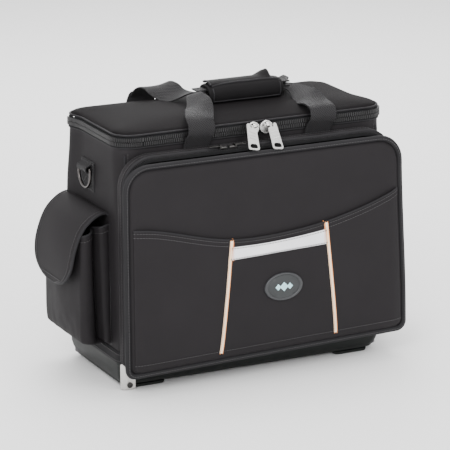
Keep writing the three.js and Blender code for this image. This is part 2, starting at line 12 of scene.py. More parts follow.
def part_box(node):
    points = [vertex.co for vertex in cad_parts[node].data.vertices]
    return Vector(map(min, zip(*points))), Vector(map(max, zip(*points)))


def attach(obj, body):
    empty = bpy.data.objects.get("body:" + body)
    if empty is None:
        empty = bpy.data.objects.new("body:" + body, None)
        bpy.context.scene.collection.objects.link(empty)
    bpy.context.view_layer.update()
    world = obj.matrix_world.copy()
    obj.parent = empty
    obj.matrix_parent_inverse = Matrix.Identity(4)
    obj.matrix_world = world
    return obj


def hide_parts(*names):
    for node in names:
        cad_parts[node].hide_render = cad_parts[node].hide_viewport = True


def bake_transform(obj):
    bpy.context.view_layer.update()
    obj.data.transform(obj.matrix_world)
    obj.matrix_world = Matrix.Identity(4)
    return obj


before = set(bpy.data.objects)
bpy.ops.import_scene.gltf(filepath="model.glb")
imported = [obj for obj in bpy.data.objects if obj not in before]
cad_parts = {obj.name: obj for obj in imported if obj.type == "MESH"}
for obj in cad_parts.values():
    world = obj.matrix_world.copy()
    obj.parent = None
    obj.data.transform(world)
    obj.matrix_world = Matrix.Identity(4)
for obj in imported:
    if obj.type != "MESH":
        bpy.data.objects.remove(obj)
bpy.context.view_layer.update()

METRES = 0.001
UP = Vector((0, 0, 1))
FORWARD = Vector((0, -1, 0))


def low(node):
    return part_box(node)[0] / METRES


def high(node):
    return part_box(node)[1] / METRES


# ---------------------------------------------------------------- sizes taken from the frame

HALF = high("right_wall").x
FRONT = low("front_wall").y
REAR = high("rear_wall").y
FOOT = low("front_wall").z
TOP = high("front_wall").z
SEAM = high("body_zip_tape").z + 0.3
LID_HALF = high("lid_panel").x
LID_FRONT = low("lid_panel").y
LID_REAR = high("lid_panel").y
LID_RADIUS = 28
BODY_RADIUS = 14
GUSSET_LOW = low("front_gusset")
GUSSET_HIGH = high("front_gusset")
PANEL_LOW = low("panel_core")
PANEL_HIGH = high("panel_core")
POCKET_LOW = low("front_pocket")
WEBBING_WIDTH = 40
SIDES = (("left", -1), ("right", 1))
GUSSET_RADII = (12, 42)
PANEL_RADII = (9, 32)


# ---------------------------------------------------------------- curves and outlines


def mix(a, b, share):
    return a + (b - a) * share


def smooth(value):
    value = min(1.0, max(0.0, value))
    return value * value * (3 - 2 * value)


def ripple(point, size, seed=0.0):
    """A soft random height, about -1 to 1, that varies over the given size."""
    return noise.noise(Vector(point) / size + Vector((seed, seed * 0.7, -seed)))


def rounded(x0, y0, x1, y1, low_radius, top_radius=None, arc=9, flat=(40, 20)):
    """The points of a rounded rectangle, counter-clockwise, with the same count for any radius."""
    top_radius = low_radius if top_radius is None else top_radius
    corners = [
        (x1 - low_radius, y0 + low_radius, low_radius, -90),
        (x1 - top_radius, y1 - top_radius, top_radius, 0),
        (x0 + top_radius, y1 - top_radius, top_radius, 90),
        (x0 + low_radius, y0 + low_radius, low_radius, 180),
    ]
    arcs = []
    for cx, cy, radius, start in corners:
        turns = [math.radians(start + 90 * i / arc) for i in range(arc + 1)]
        arcs.append([(cx + radius * math.cos(a), cy + radius * math.sin(a)) for a in turns])
    points = []
    for i, bend in enumerate(arcs):
        before = arcs[i - 1][-1]
        steps = flat[i % 2]
        for k in range(1, steps):
            points.append((mix(before[0], bend[0][0], k / steps), mix(before[1], bend[0][1], k / steps)))
        points.extend(bend)
    return points


def body_plan(z, margin=0.0, radius=BODY_RADIUS, **counts):
    """The bag's outline seen from above."""
    x = HALF + margin
    flat = rounded(-x, FRONT - margin, x, REAR + margin, radius, **counts)
    return [Vector((px, py, z)) for px, py in flat]


def lid_plan(z, margin=0.0, **counts):
    return body_plan(z, margin + LID_HALF - HALF, LID_RADIUS + margin, **counts)


def facing(lowest, highest, y, margin, radii):
    """A rounded rectangle seen from the front, grown by a margin."""
    flat = rounded(
        lowest.x - margin, lowest.z - margin, highest.x + margin, highest.z + margin,
        radii[0] + margin, radii[1] + margin,
    )
    return [Vector((px, y, pz)) for px, pz in flat]


def gusset_line(y, margin=0.0):
    return facing(GUSSET_LOW, GUSSET_HIGH, y, margin, GUSSET_RADII)


def panel_line(y, margin=0.0):
    return facing(PANEL_LOW, PANEL_HIGH, y, margin, PANEL_RADII)


def hang(point):
    """The soft front compartment hangs a little on its left, and flares and rides up on its right."""
    share = smooth((PANEL_HIGH.z - point.z) / (PANEL_HIGH.z - PANEL_LOW.z))
    flare = (5.0 + 10.0 * share) * smooth(point.x / PANEL_HIGH.x)
    return point + Vector((flare, 0, share * (1.0 + 5.5 * point.x / PANEL_HIGH.x)))


def settle(point):
    """The loaded body bulges at its front right and rear left corners."""
    right = smooth((point.x - 60) / 140) * smooth((15 - point.y) / 50)
    left = smooth((-point.x - 60) / 140) * smooth((point.y - 58) / 42)
    return point + Vector((9.5 * right - 8.0 * left, 0, 0))


def spline(knots, count):
    """Points spaced evenly along a smooth line through the knots."""
    knots = [Vector(k) for k in knots]
    ends = [knots[0] * 2 - knots[1], *knots, knots[-1] * 2 - knots[-2]]
    fine = []
    for i in range(1, len(ends) - 2):
        a, b, c, d = ends[i - 1 : i + 3]
        for k in range(16):
            t = k / 16
            square = 2 * a - 5 * b + 4 * c - d
            cube = 3 * b - a - 3 * c + d
            fine.append(0.5 * (2 * b + (c - a) * t + square * t * t + cube * t**3))
    fine.append(knots[-1])
    return spaced(fine, count=count)


def spaced(path, pitch=None, count=None, closed=False):
    """A path again, with its points at equal distances."""
    path = [Vector(p) for p in path] + ([Vector(path[0])] if closed else [])
    lengths = [0.0]
    for a, b in zip(path, path[1:]):
        lengths.append(lengths[-1] + (b - a).length)
    count = count or max(2, round(lengths[-1] / pitch))
    steps = count if closed else count - 1
    points = []
    at = 0
    for i in range(count):
        goal = lengths[-1] * i / steps
        while at < len(path) - 2 and lengths[at + 1] < goal:
            at += 1
        span = lengths[at + 1] - lengths[at] or 1.0
        points.append(path[at].lerp(path[at + 1], (goal - lengths[at]) / span))
    return points


def sheet_rows(columns, rows_up, spot):
    """Rows of points over a sheet: spot(s, t) gives each, s across and t up, both from 0 to 1."""
    return [[spot(i / columns, j / rows_up) for i in range(columns + 1)] for j in range(rows_up + 1)]


def tangents(path, closed=False):
    count = len(path)
    found = []
    for i in range(count):
        before = path[i - 1] if closed or i else path[0]
        after = path[(i + 1) % count] if closed or i < count - 1 else path[-1]
        found.append((after - before).normalized())
    return found


# ---------------------------------------------------------------- meshes


CORNERS = ((-1, -1), (1, -1), (1, 1), (-1, 1))


class Shape:
    """The points and faces of one piece, in millimetres."""

    def __init__(self):
        self.points = []
        self.faces = []

    def grid(self, rows, around=False, along=False):
        start = len(self.points)
        wide = len(rows[0])
        for row in rows:
            self.points.extend(row)
        for j in range(len(rows) if along else len(rows) - 1):
            for i in range(wide if around else wide - 1):
                a = start + j * wide
                b = start + (j + 1) % len(rows) * wide
                self.faces.append((a + i, a + (i + 1) % wide, b + (i + 1) % wide, b + i))
        return self

    def cap(self, ring):
        start = len(self.points)
        middle = sum(ring, Vector()) / len(ring)
        self.points.extend([*ring, middle])
        last = start + len(ring)
        for i in range(len(ring)):
            self.faces.append((start + i, start + (i + 1) % len(ring), last))
        return self

    def sweep(self, path, section, up=None, closed=False, ends=True):
        """Carries a closed section (sideways, upwards) along a path."""
        along = tangents(path, closed)
        ups = up if isinstance(up, list) else [up or UP] * len(path)
        rows = []
        for point, ahead, above in zip(path, along, ups):
            side = ahead.cross(above).normalized()
            above = side.cross(ahead).normalized()
            rows.append([point + side * s + above * u for s, u in section])
        self.grid(rows, around=True, along=closed)
        if ends and not closed:
            self.cap(rows[0])
            self.cap(rows[-1])
        return self

    def tube(self, path, radius, up=None, closed=False, sides=8, flat=1.0):
        ring = [2 * math.pi * i / sides for i in range(sides)]
        section = [(radius * math.cos(a), radius * flat * math.sin(a)) for a in ring]
        return self.sweep(path, section, up, closed)

    def lathe(self, profile, centre, axis, sides=24):
        """Turns a profile (radius, height) about an axis."""
        turn = UP.rotation_difference(Vector(axis)).to_matrix()
        rows = []
        for radius, height in profile:
            ring = []
            for i in range(sides):
                a = 2 * math.pi * i / sides
                spoke = Vector((radius * math.cos(a), radius * math.sin(a), height))
                ring.append(Vector(centre) + turn @ spoke)
            rows.append(ring)
        return self.grid(rows, around=True).cap(rows[0]).cap(rows[-1])

    def block(self, lowest, highest, bevel=0.6):
        """A box whose upright edges and rims are rounded off."""
        x0, y0, z0 = lowest
        x1, y1, z1 = highest
        levels = [(z0, bevel), (z0 + bevel, 0), (z1 - bevel, 0), (z1, bevel)]
        rows = []
        for z, inset in levels:
            outline = rounded(x0 + inset, y0 + inset, x1 - inset, y1 - inset, bevel, arc=3, flat=(1, 1))
            rows.append([Vector((x, y, z)) for x, y in outline])
        return self.grid(rows, around=True).cap(rows[0]).cap(rows[-1])

    def beads(self, path, size, ups=None, lift=0.0, closed=False, skip=None):
        """A small rounded block at each point: size is its length, width and height."""
        along = tangents(path, closed)
        long, wide, tall = (v / 2 for v in size)
        ups = ups if isinstance(ups, list) else [ups or UP] * len(path)
        for point, ahead, above in zip(path, along, ups):
            if skip and skip(point):
                continue
            side = ahead.cross(above).normalized()
            above = side.cross(ahead).normalized()
            middle = point + above * lift
            rows = []
            for place, share in ((-1, 0.45), (-0.6, 1), (0.6, 1), (1, 0.45)):
                at = middle + ahead * place * long
                across = side * wide * share
                upward = above * tall * share
                rows.append([at + across * s + upward * u for s, u in CORNERS])
            self.grid(rows, around=True)
            start = len(self.points) - 16
            self.faces.append((start + 3, start + 2, start + 1, start))
            self.faces.append((start + 12, start + 13, start + 14, start + 15))
        return self

    def mapped(self, move):
        self.points = [move(p) for p in self.points]
        return self

    def mirrored(self, side):
        """Turns a left piece into the right one."""
        if side > 0:
            self.points = [Vector((-p.x, p.y, p.z)) for p in self.points]
        return self


def mesh_of(shape, name):
    mesh = bpy.data.meshes.new(name)
    mesh.from_pydata([p * METRES for p in shape.points], [], shape.faces)
    work = bmesh.new()
    work.from_mesh(mesh)
    bmesh.ops.remove_doubles(work, verts=work.verts, dist=0.00001)
    bmesh.ops.recalc_face_normals(work, faces=work.faces)
    work.to_mesh(mesh)
    work.free()
    return mesh


def shade(mesh, angle):
    mesh.shade_smooth()
    mesh.set_sharp_from_angle(angle=math.radians(angle))


def new_object(shape, name, angle=42):
    mesh = mesh_of(shape, name)
    shade(mesh, angle)
    made = bpy.data.objects.new(name, mesh)
    bpy.context.scene.collection.objects.link(made)
    return made


def dress(piece, finish, body=None, stands_for=()):
    """Gives a piece its material, and says what it rides on and stands for."""
    piece.data.materials.clear()
    piece.data.materials.append(finish)
    if body:
        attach(piece, body)
    if stands_for:
        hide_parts(*stands_for)
    return piece


def make(shape, name, finish, body=None, stands_for=()):
    return dress(new_object(shape, name), finish, body, stands_for)


def rounder(piece):
    smoothing = piece.modifiers.new("rounding", "SUBSURF")
    smoothing.levels = 1
    smoothing.render_levels = 1
    return piece


def thicken(piece, thickness):
    """Gives a sheet its thickness, all on one side."""
    piece.modifiers.new("thickness", "SOLIDIFY").thickness = thickness * METRES
    return piece


def soft_sheet(piece, thickness):
    """Gives a sheet its thickness, half on each side, and rounds it."""
    solid = piece.modifiers.new("thickness", "SOLIDIFY")
    solid.thickness = thickness * METRES
    solid.offset = 0
    return rounder(piece)


def current_points(piece):
    """A new mesh of the piece as its modifiers make it now."""
    seen = piece.evaluated_get(bpy.context.evaluated_depsgraph_get())
    return bpy.data.meshes.new_from_object(seen)


def surface_of(*pieces):
    """A ray target made of the pieces as they are now, in millimetres."""
    bpy.context.view_layer.update()
    points = []
    faces = []
    for piece in pieces:
        mesh = current_points(piece)
        start = len(points)
        points.extend(piece.matrix_world @ v.co / METRES for v in mesh.vertices)
        faces.extend([start + i for i in f.vertices] for f in mesh.polygons)
        bpy.data.meshes.remove(mesh)
    return BVHTree.FromPolygons(points, faces)


def lay(path, surface, direction, lift=0.0, reach=80):
    """Drops a path onto a surface along a direction: its points and their normals."""
    direction = Vector(direction).normalized()
    points = []
    normals = []
    for point in path:
        hit, normal, _, _ = surface.ray_cast(point - direction * reach, direction)
        if hit is None:
            hit = point
            normal = -direction
        if normal.dot(direction) > 0:
            normal = -normal
        points.append(hit + normal * lift)
        normals.append(normal)
    return points, normals


STITCH = (3.0, 0.75, 0.7)
STITCH_PITCH = 4.0


def stitches(shape, path, ups, closed=False):
    return shape.beads(path, STITCH, ups, 0.15, closed)


def sewn(shape, path, surface, direction, closed=False):
    """A row of stitches along a path, on a surface."""
    points, normals = lay(spaced(path, STITCH_PITCH, closed=closed), surface, direction)
    return stitches(shape, points, normals, closed)


def crossed_box(thread, square, up):
    """Stitches round four corners and along both diagonals."""
    stitches(thread, spaced(square, STITCH_PITCH, closed=True), up, True)
    for a, b in ((square[0], square[2]), (square[1], square[3])):
        stitches(thread, spaced([a, b], STITCH_PITCH), up)


# ---------------------------------------------------------------- swelling


VOXEL = 5.0
SWELL_FRAMES = 20
SWELL_MOST = 5.0
PRESSURE = 4.0


def swell(piece, held):
    """Lets air pressure fill a closed cloth shape. held(point) is 1 where the cloth is sewn down."""
    remesh = piece.modifiers.new("remesh", "REMESH")
    remesh.mode = "VOXEL"
    remesh.voxel_size = VOXEL * METRES
    even = current_points(piece)
    piece.modifiers.clear()
    piece.data = even
    rest = [v.co.copy() for v in even.vertices]
    group = piece.vertex_groups.new(name="sewn")
    for i, point in enumerate(rest):
        group.add([i], held(point / METRES), "REPLACE")
    cloth = piece.modifiers.new("cloth", "CLOTH")
    cloth.settings.quality = 5
    cloth.settings.use_pressure = True
    cloth.settings.uniform_pressure_force = PRESSURE
    cloth.settings.effector_weights.gravity = 0
    cloth.settings.vertex_group_mass = "sewn"
    cloth.settings.bending_stiffness = 8
    cloth.settings.tension_stiffness = 25
    cloth.settings.compression_stiffness = 25
    scene = bpy.context.scene
    for number in range(1, SWELL_FRAMES + 1):
        scene.frame_set(number)
    swollen = current_points(piece)
    piece.modifiers.clear()
    for vertex, before, after in zip(piece.data.vertices, rest, swollen.vertices):
        move = after.co - before
        if move.length > SWELL_MOST * METRES:
            move *= SWELL_MOST * METRES / move.length
        vertex.co = before + move
    bpy.data.meshes.remove(swollen)
    piece.vertex_groups.clear()
    scene.frame_set(1)
    soften = bmesh.new()
    soften.from_mesh(piece.data)
    for _ in range(3):
        bmesh.ops.smooth_vert(
            soften, verts=soften.verts, factor=0.4, use_axis_x=True, use_axis_y=True, use_axis_z=True
        )
    soften.to_mesh(piece.data)
    soften.free()
    piece.data.shade_smooth()
    return rounder(piece)


# ---------------------------------------------------------------- shared effects


def new_group(name, inputs, outputs):
    tree = bpy.data.node_groups.new(name, "ShaderNodeTree")
    for label, value in inputs.items():
        socket = tree.interface.new_socket(name=label, in_out="INPUT", socket_type="NodeSocketFloat")
        socket.default_value = value
    for label in outputs:
        tree.interface.new_socket(name=label, in_out="OUTPUT", socket_type="NodeSocketFloat")
    return tree, tree.nodes.new("NodeGroupInput"), tree.nodes.new("NodeGroupOutput")


def math_node(tree, operation, a, b=None, clamp=False):
    node = tree.nodes.new("ShaderNodeMath")
    node.operation = operation
    node.use_clamp = clamp
    for socket, value in zip(node.inputs, (a, b)):
        if value is None:
            continue
        if isinstance(value, (int, float)):
            socket.default_value = value
        else:
            tree.links.new(value, socket)
    return node.outputs[0]


def noise_node(tree, where, scale, detail=2.0, roughness=0.5):
    node = tree.nodes.new("ShaderNodeTexNoise")
    node.inputs["Detail"].default_value = detail
    node.inputs["Roughness"].default_value = roughness
    if isinstance(scale, (int, float)):
        node.inputs["Scale"].default_value = scale
    else:
        tree.links.new(scale, node.inputs["Scale"])
    tree.links.new(where, node.inputs["Vector"])
    return node.outputs[0]


def place(tree):
    return tree.nodes.new("ShaderNodeTexCoord").outputs["Object"]


def surface_axes(tree):
    """Two coordinates that lie in the surface, whichever way it faces."""
    where = tree.nodes.new("ShaderNodeSeparateXYZ")
    tree.links.new(place(tree), where.inputs[0])
    faces = tree.nodes.new("ShaderNodeSeparateXYZ")
    tree.links.new(tree.nodes.new("ShaderNodeTexCoord").outputs["Normal"], faces.inputs[0])
    x, y, z = where.outputs
    sizes = [math_node(tree, "ABSOLUTE", s) for s in faces.outputs]
    faces_x = math_node(tree, "GREATER_THAN", sizes[0], math_node(tree, "MAXIMUM", sizes[1], sizes[2]))
    faces_z = math_node(tree, "GREATER_THAN", sizes[2], math_node(tree, "MAXIMUM", sizes[0], sizes[1]))

    def choose(flag, yes, no):
        keep = math_node(tree, "SUBTRACT", 1.0, flag)
        first = math_node(tree, "MULTIPLY", flag, yes)
        return math_node(tree, "ADD", first, math_node(tree, "MULTIPLY", keep, no))

    return choose(faces_x, y, x), choose(faces_z, y, z)


def weave_group():
    """Plain-woven threads: a height for bump, and a slow shade that varies as cloth does."""
    tree, into, out = new_group("plain weave", {"Threads": 900.0, "Slub": 0.3}, ["Height", "Shade"])
    across, up = surface_axes(tree)
    turns = math_node(tree, "MULTIPLY", into.outputs["Threads"], math.pi)
    warp = math_node(tree, "SINE", math_node(tree, "MULTIPLY", across, turns))
    weft = math_node(tree, "SINE", math_node(tree, "MULTIPLY", up, turns))
    over = math_node(tree, "MULTIPLY", warp, weft)
    threads = math_node(tree, "MULTIPLY_ADD", over, 0.5)
    threads.node.inputs[2].default_value = 0.5
    fuzz = noise_node(tree, place(tree), 1400.0, 2.0)
    slub = math_node(tree, "MULTIPLY", fuzz, into.outputs["Slub"])
    tree.links.new(math_node(tree, "ADD", threads, slub), out.inputs["Height"])
    slow = noise_node(tree, place(tree), 14.0, 4.0, 0.6)
    tree.links.new(slow, out.inputs["Shade"])
    return tree


def rib_group():
    """Webbing: broken diagonal ribs across the strap."""
    tree, into, out = new_group("webbing ribs", {"Ribs": 420.0}, ["Height", "Shade"])
    across, up = surface_axes(tree)
    turns = math_node(tree, "MULTIPLY", into.outputs["Ribs"], math.pi)
    one = math_node(tree, "SINE", math_node(tree, "MULTIPLY", math_node(tree, "ADD", across, up), turns))
    two = math_node(tree, "SINE", math_node(tree, "MULTIPLY", math_node(tree, "SUBTRACT", across, up), turns))
    crossed = math_node(tree, "MAXIMUM", one, two)
    tree.links.new(crossed, out.inputs["Height"])
    tree.links.new(noise_node(tree, place(tree), 30.0, 3.0), out.inputs["Shade"])
    return tree


def grain_group():
    """Fine pebbled moulding grain with faint scuffs."""
    tree, into, out = new_group("grain", {"Size": 900.0}, ["Height", "Scuff"])
    tree.links.new(noise_node(tree, place(tree), into.outputs["Size"], 3.0), out.inputs["Height"])
    broad = noise_node(tree, place(tree), 22.0, 5.0, 0.65)
    tree.links.new(math_node(tree, "MULTIPLY", broad, broad), out.inputs["Scuff"])
    return tree


def wear_group():
    """Where edges have rubbed: 1 on sharp outward edges, broken up by noise."""
    tree, into, out = new_group("edge rub", {"Reach": 0.52}, ["Mask"])
    bend = tree.nodes.new("ShaderNodeNewGeometry").outputs["Pointiness"]
    over = math_node(tree, "SUBTRACT", bend, into.outputs["Reach"])
    edge = math_node(tree, "MULTIPLY", over, 12.0, clamp=True)
    broken = noise_node(tree, place(tree), 120.0, 3.0)
    tree.links.new(math_node(tree, "MULTIPLY", edge, broken), out.inputs["Mask"])
    return tree


WEAVE = weave_group()
RIBS = rib_group()
GRAIN = grain_group()
WEAR = wear_group()


# ---------------------------------------------------------------- materials


class Finish:
    """One material, built step by step round its Principled shader."""

    def __init__(self, name, colour, roughness, metallic=0.0):
        self.material = bpy.data.materials.new(name)
        self.material.use_nodes = True
        self.tree = self.material.node_tree
        self.shader = self.tree.nodes["Principled BSDF"]
        self.colour = colour
        self.shader.inputs["Base Color"].default_value = (*colour, 1)
        self.shader.inputs["Roughness"].default_value = roughness
        self.shader.inputs["Metallic"].default_value = metallic

    def effect(self, group, **values):
        node = self.tree.nodes.new("ShaderNodeGroup")
        node.node_tree = group
        for label, value in values.items():
            node.inputs[label].default_value = value
        return node

    def tint(self, mask, dark, light):
        """Base colour runs between two strengths of the finish's own colour."""
        ramp = self.tree.nodes.new("ShaderNodeMix")
        ramp.data_type = "RGBA"
        ramp.inputs["A"].default_value = (*[c * dark for c in self.colour], 1)
        ramp.inputs["B"].default_value = (*[min(1, c * light) for c in self.colour], 1)
        ramp.clamp_factor = True
        self.tree.links.new(mask, ramp.inputs["Factor"])
        self.tree.links.new(ramp.outputs["Result"], self.shader.inputs["Base Color"])
        return ramp

    def rubbed(self, base, light, reach=0.52):
        """Edges worn lighter, over the base colour node."""
        mask = self.effect(WEAR, Reach=reach).outputs["Mask"]
        over = self.tree.nodes.new("ShaderNodeMix")
        over.data_type = "RGBA"
        over.inputs["B"].default_value = (*light, 1)
        self.tree.links.new(mask, over.inputs["Factor"])
        self.tree.links.new(base.outputs["Result"], over.inputs["A"])
        self.tree.links.new(over.outputs["Result"], self.shader.inputs["Base Color"])

    def roughen(self, mask, least, most):
        span = self.tree.nodes.new("ShaderNodeMapRange")
        span.inputs["To Min"].default_value = least
        span.inputs["To Max"].default_value = most
        self.tree.links.new(mask, span.inputs["Value"])
        self.tree.links.new(span.outputs[0], self.shader.inputs["Roughness"])

    def bump(self, height, depth, strength=1.0):
        node = self.tree.nodes.new("ShaderNodeBump")
        node.inputs["Distance"].default_value = depth * METRES
        node.inputs["Strength"].default_value = strength
        self.tree.links.new(height, node.inputs["Height"])
        self.tree.links.new(node.outputs[0], self.shader.inputs["Normal"])

    def soft(self, sheen, gloss=0.22):
        """Cloth: a faint sheen and weak mirror reflection."""
        self.shader.inputs["Sheen Weight"].default_value = sheen
        self.shader.inputs["Sheen Roughness"].default_value = 0.4
        self.shader.inputs["Specular IOR Level"].default_value = gloss
        return self


def cloth(name, colour, roughness, threads, depth, sheen=0.0, shade=(0.82, 1.2), gloss=0.13):
    finish = Finish(name, colour, roughness).soft(sheen, gloss)
    weave = finish.effect(WEAVE, Threads=threads)
    base = finish.tint(weave.outputs["Shade"], *shade)
    finish.rubbed(base, [c * 2.2 for c in colour])
    finish.roughen(weave.outputs["Shade"], roughness - 0.07, roughness + 0.08)
    finish.bump(weave.outputs["Height"], depth)
    return finish.material


def ribbed(name, colour, ribs, depth):
    finish = Finish(name, colour, 0.62).soft(0.02, 0.16)
    rib = finish.effect(RIBS, Ribs=ribs)
    # the rib crests are painted lighter and the grooves darker, following the bump height: painted highlight
    # and painted shade
    finish.tint(rib.outputs["Height"], 0.55, 1.5)
    finish.roughen(rib.outputs["Shade"], 0.5, 0.75)
    finish.bump(rib.outputs["Height"], depth)
    return finish.material


def moulded(name, colour, roughness, size=900.0, depth=0.05, gloss=0.5):
    finish = Finish(name, colour, roughness)
    finish.shader.inputs["Specular IOR Level"].default_value = gloss
    grain = finish.effect(GRAIN, Size=size)
    base = finish.tint(grain.outputs["Scuff"], 0.8, 1.5)
    finish.rubbed(base, [min(1, c * 2) for c in colour], 0.53)
    finish.roughen(grain.outputs["Scuff"], roughness - 0.06, roughness + 0.14)
    finish.bump(grain.outputs["Height"], depth)
    return finish.material


def plated(name, colour, roughness):
    finish = Finish(name, colour, roughness, 1.0)
    grain = finish.effect(GRAIN, Size=260.0)
    finish.tint(grain.outputs["Scuff"], 0.86, 1.05)
    finish.roughen(grain.outputs["Scuff"], roughness - 0.04, roughness + 0.2)
    finish.bump(grain.outputs["Height"], 0.01)
    return finish.material


NYLON = cloth("bag nylon", (0.0135, 0.0122, 0.0132), 0.62, 1100, 0.14, gloss=0.085)
# the lid's nylon is the bag's nylon painted darker: painted shade over the brightly lit top
PAINTED_SHADE_LID_NYLON = cloth("lid nylon painted shade", (0.008, 0.0072, 0.0077), 0.7, 1100, 0.14, gloss=0.03)
LINING = cloth("grey lining", (0.05, 0.048, 0.052), 0.8, 800, 0.1, 0.1)
BINDING = cloth("binding tape", (0.0105, 0.01, 0.011), 0.6, 700, 0.16)
TAPE = cloth("zip tape", (0.007, 0.007, 0.0075), 0.7, 600, 0.2)
PADDING = cloth("grip cloth", (0.008, 0.0075, 0.008), 0.6, 1000, 0.1, gloss=0.05)
WEBBING = ribbed("handle webbing", (0.0135, 0.0128, 0.0138), 560, 0.45)
HOOKS = moulded("touch tape", (0.01, 0.01, 0.0105), 0.85, 2200, 0.5)
COIL = moulded("zip coil", (0.011, 0.0105, 0.011), 0.42, 900, 0.03)
THREAD = moulded("black thread", (0.019, 0.018, 0.019), 0.55, 1800, 0.05)
TRAY = moulded("tray moulding", (0.0065, 0.0076, 0.0071), 0.48, gloss=0.2)
BOARD = moulded("floor board", (0.03, 0.03, 0.031), 0.6)
NICKEL = plated("nickel plate", (0.66, 0.65, 0.64), 0.26)
DARK_NICKEL = plated("dark nickel", (0.05, 0.048, 0.047), 0.36)
GUARD_PLATE = plated("worn nickel plate", (0.62, 0.6, 0.58), 0.42)
BLACK_NICKEL = plated("black nickel", (0.09, 0.082, 0.08), 0.28)
SILVER = moulded("reflective tape", (0.86, 0.86, 0.9), 0.4, 1500, 0.04)
TRIM = moulded("pale trim", (0.92, 0.6, 0.4), 0.5, 1300, 0.05)
ORANGE = moulded("orange thread", (0.72, 0.2, 0.06), 0.6, 1500, 0.05)
RUBBER = moulded("badge rubber", (0.012, 0.014, 0.015), 0.5, 1200, 0.06)
RIM = moulded("badge rim", (0.02, 0.021, 0.023), 0.45, 1200, 0.04)
INLAY = moulded("badge inlay", (0.36, 0.62, 0.68), 0.4, 1200, 0.03)


# ---------------------------------------------------------------- base tray


TRAY_SPREAD = high("base_tub").x - HALF
TRAY_BEND_TOP = 31.0
TRAY_BEND_HEIGHT = 28.0
TRAY_BEND_WIDTH = 14.0
TRAY_RADIUS = 12
TRAY_FOOT = (52, 24)
TRAY_FEET_X = (-186, 134)
GUARD_WING = 22
GUARD_SIDE_WING = 3.5


def tray_inset(z):
    """How far the tray's side has curved in at a height."""
    drop = min(1.0, max(0.0, (TRAY_BEND_TOP - z) / TRAY_BEND_HEIGHT))
    return TRAY_BEND_WIDTH * (1 - math.sqrt(1 - drop * drop))


def tray_ring(z, margin=0.0):
    inset = tray_inset(z)
    return body_plan(z, TRAY_SPREAD + margin - inset, TRAY_RADIUS + margin + inset * 0.5)


def base_tray():
    shape = Shape()
    levels = [3, 3.15, 3.6, 4.6, 6, 8.5, 12, 17, 23, 31]
    rows = [tray_ring(z) for z in levels]
    rim = ((34.5, 0), (35.2, 0.8), (38.6, 0.9), (39.7, 0.2), (39.7, -8.5), (34.7, -8.8))
    inside_wall = ((34.4, -3.2), (24, -3.6), (6.4, 2))
    rows += [tray_ring(z, margin) for z, margin in rim + inside_wall]
    shape.grid(rows, around=True).cap(rows[0]).cap(rows[-1])
    for x0 in TRAY_FEET_X:
        for y0 in (FRONT, REAR - TRAY_FOOT[1]):
            tray_foot(shape, x0, y0)
    make(shape, "base_tray", TRAY, "root", ["base_tub"])


def tray_foot(shape, x0, y0):
    x1, y1 = x0 + TRAY_FOOT[0], y0 + TRAY_FOOT[1]
    floor = low("base_tub").z
    rings = []
    for z, inset in ((0, 2.5), (0.6, 1), (1.6, 0.2), (4.5, 0)):
        outline = rounded(x0 + inset, y0 + inset, x1 - inset, y1 - inset, 6, arc=5, flat=(4, 2))
        rings.append([Vector((px, py, floor + z)) for px, py in outline])
    shape.grid(rings, around=True).cap(rings[0]).cap(rings[-1])


def corner_guard():
    """A plate folded over the tray's front left corner, held by one rivet in its front."""
    levels = ((1.2, 1.2), (1.8, 1.7), *((z, 1.8) for z in (4, 12, 22, 30, 37)), (38.4, 1.2))
    outer = [corner_bend(z, out) for z, out in levels]
    inner = [[p + Vector((0.6, 1.5, 0)) for p in row] for row in outer]
    shape = Shape().grid(outer).grid(inner)
    shape.grid([outer[0], inner[0]]).grid([outer[-1], inner[-1]])
    for place in (0, -1):
        shape.grid([[row[place] for row in outer], [row[place] for row in inner]])
    plate = new_object(shape, "corner_guard_plate")
    dress(plate, GUARD_PLATE, "root", ["corner_guard_front_left"])

    seat = (low("corner_rivet_front_left") + high("corner_rivet_front_left")) / 2
    profile = [(4.0, -1.2), (4.3, -0.4), (4.1, 0.4), (3.1, 1.0), (2.1, 1.2), (1.8, 0.7), (0.4, 0.65)]
    rivet = new_object(Shape().lathe(profile, seat, FORWARD, 20), "corner_rivet_head")
    dress(rivet, DARK_NICKEL, "root", ["corner_rivet_front_left"])


def corner_bend(z, out):
    """The part of the tray's upright outline that the guard covers, in order round the corner."""
    ring = body_plan(z, TRAY_SPREAD + out, TRAY_RADIUS + out, arc=14, flat=(120, 60))
    right = -HALF - TRAY_SPREAD + GUARD_WING
    rear = FRONT - TRAY_SPREAD + GUARD_SIDE_WING
    near = [p for p in ring if p.x < right and p.y < rear]
    near.sort(key=lambda p: p.x - p.y)
    return spaced(near, count=26)


# ---------------------------------------------------------------- body


def body_swell(point):
    """How far the padded wall stands out, softly uneven."""
    rise = math.sin(math.pi * min(1, max(0, (point.z - FOOT) / (TOP - FOOT))))
    on_side = smooth((abs(point.x) - HALF + 30) / 26)
    belly = mix(0.6, 2.6, on_side) * rise
    return belly + 0.9 * ripple(point, 95, 3) * rise + 0.35 * ripple(point, 34, 8)


def body_ring(z, inset):
    spread = smooth((z - 235) / 100)
    radius = mix(BODY_RADIUS, 27, spread)
    ring = body_plan(z, -inset, radius - inset)
    ahead = tangents(ring, True)
    return [settle(p + a.cross(UP) * body_swell(p)) for p, a in zip(ring, ahead)]


def body_shell():
    shape = Shape()
    steps = 34
    heights = [mix(FOOT - 3, TOP, i / steps) for i in range(steps + 1)]
    rows = [body_ring(z, 0.2) for z in heights]
    rows += [body_ring(z, 4.2) for z in reversed(heights)]
    shape.grid(rows, around=True, along=True)
    walls = ["front_wall", "rear_wall", "left_wall", "right_wall"]
    return make(shape, "body_shell", NYLON, "root", walls)


CORD_IN = 11
THREAD_IN = 14.5


def foot_line(z, out):
    """The outline of the tape that runs round the foot of the cloth."""
    return body_plan(z, out, 13 + out * 0.5)


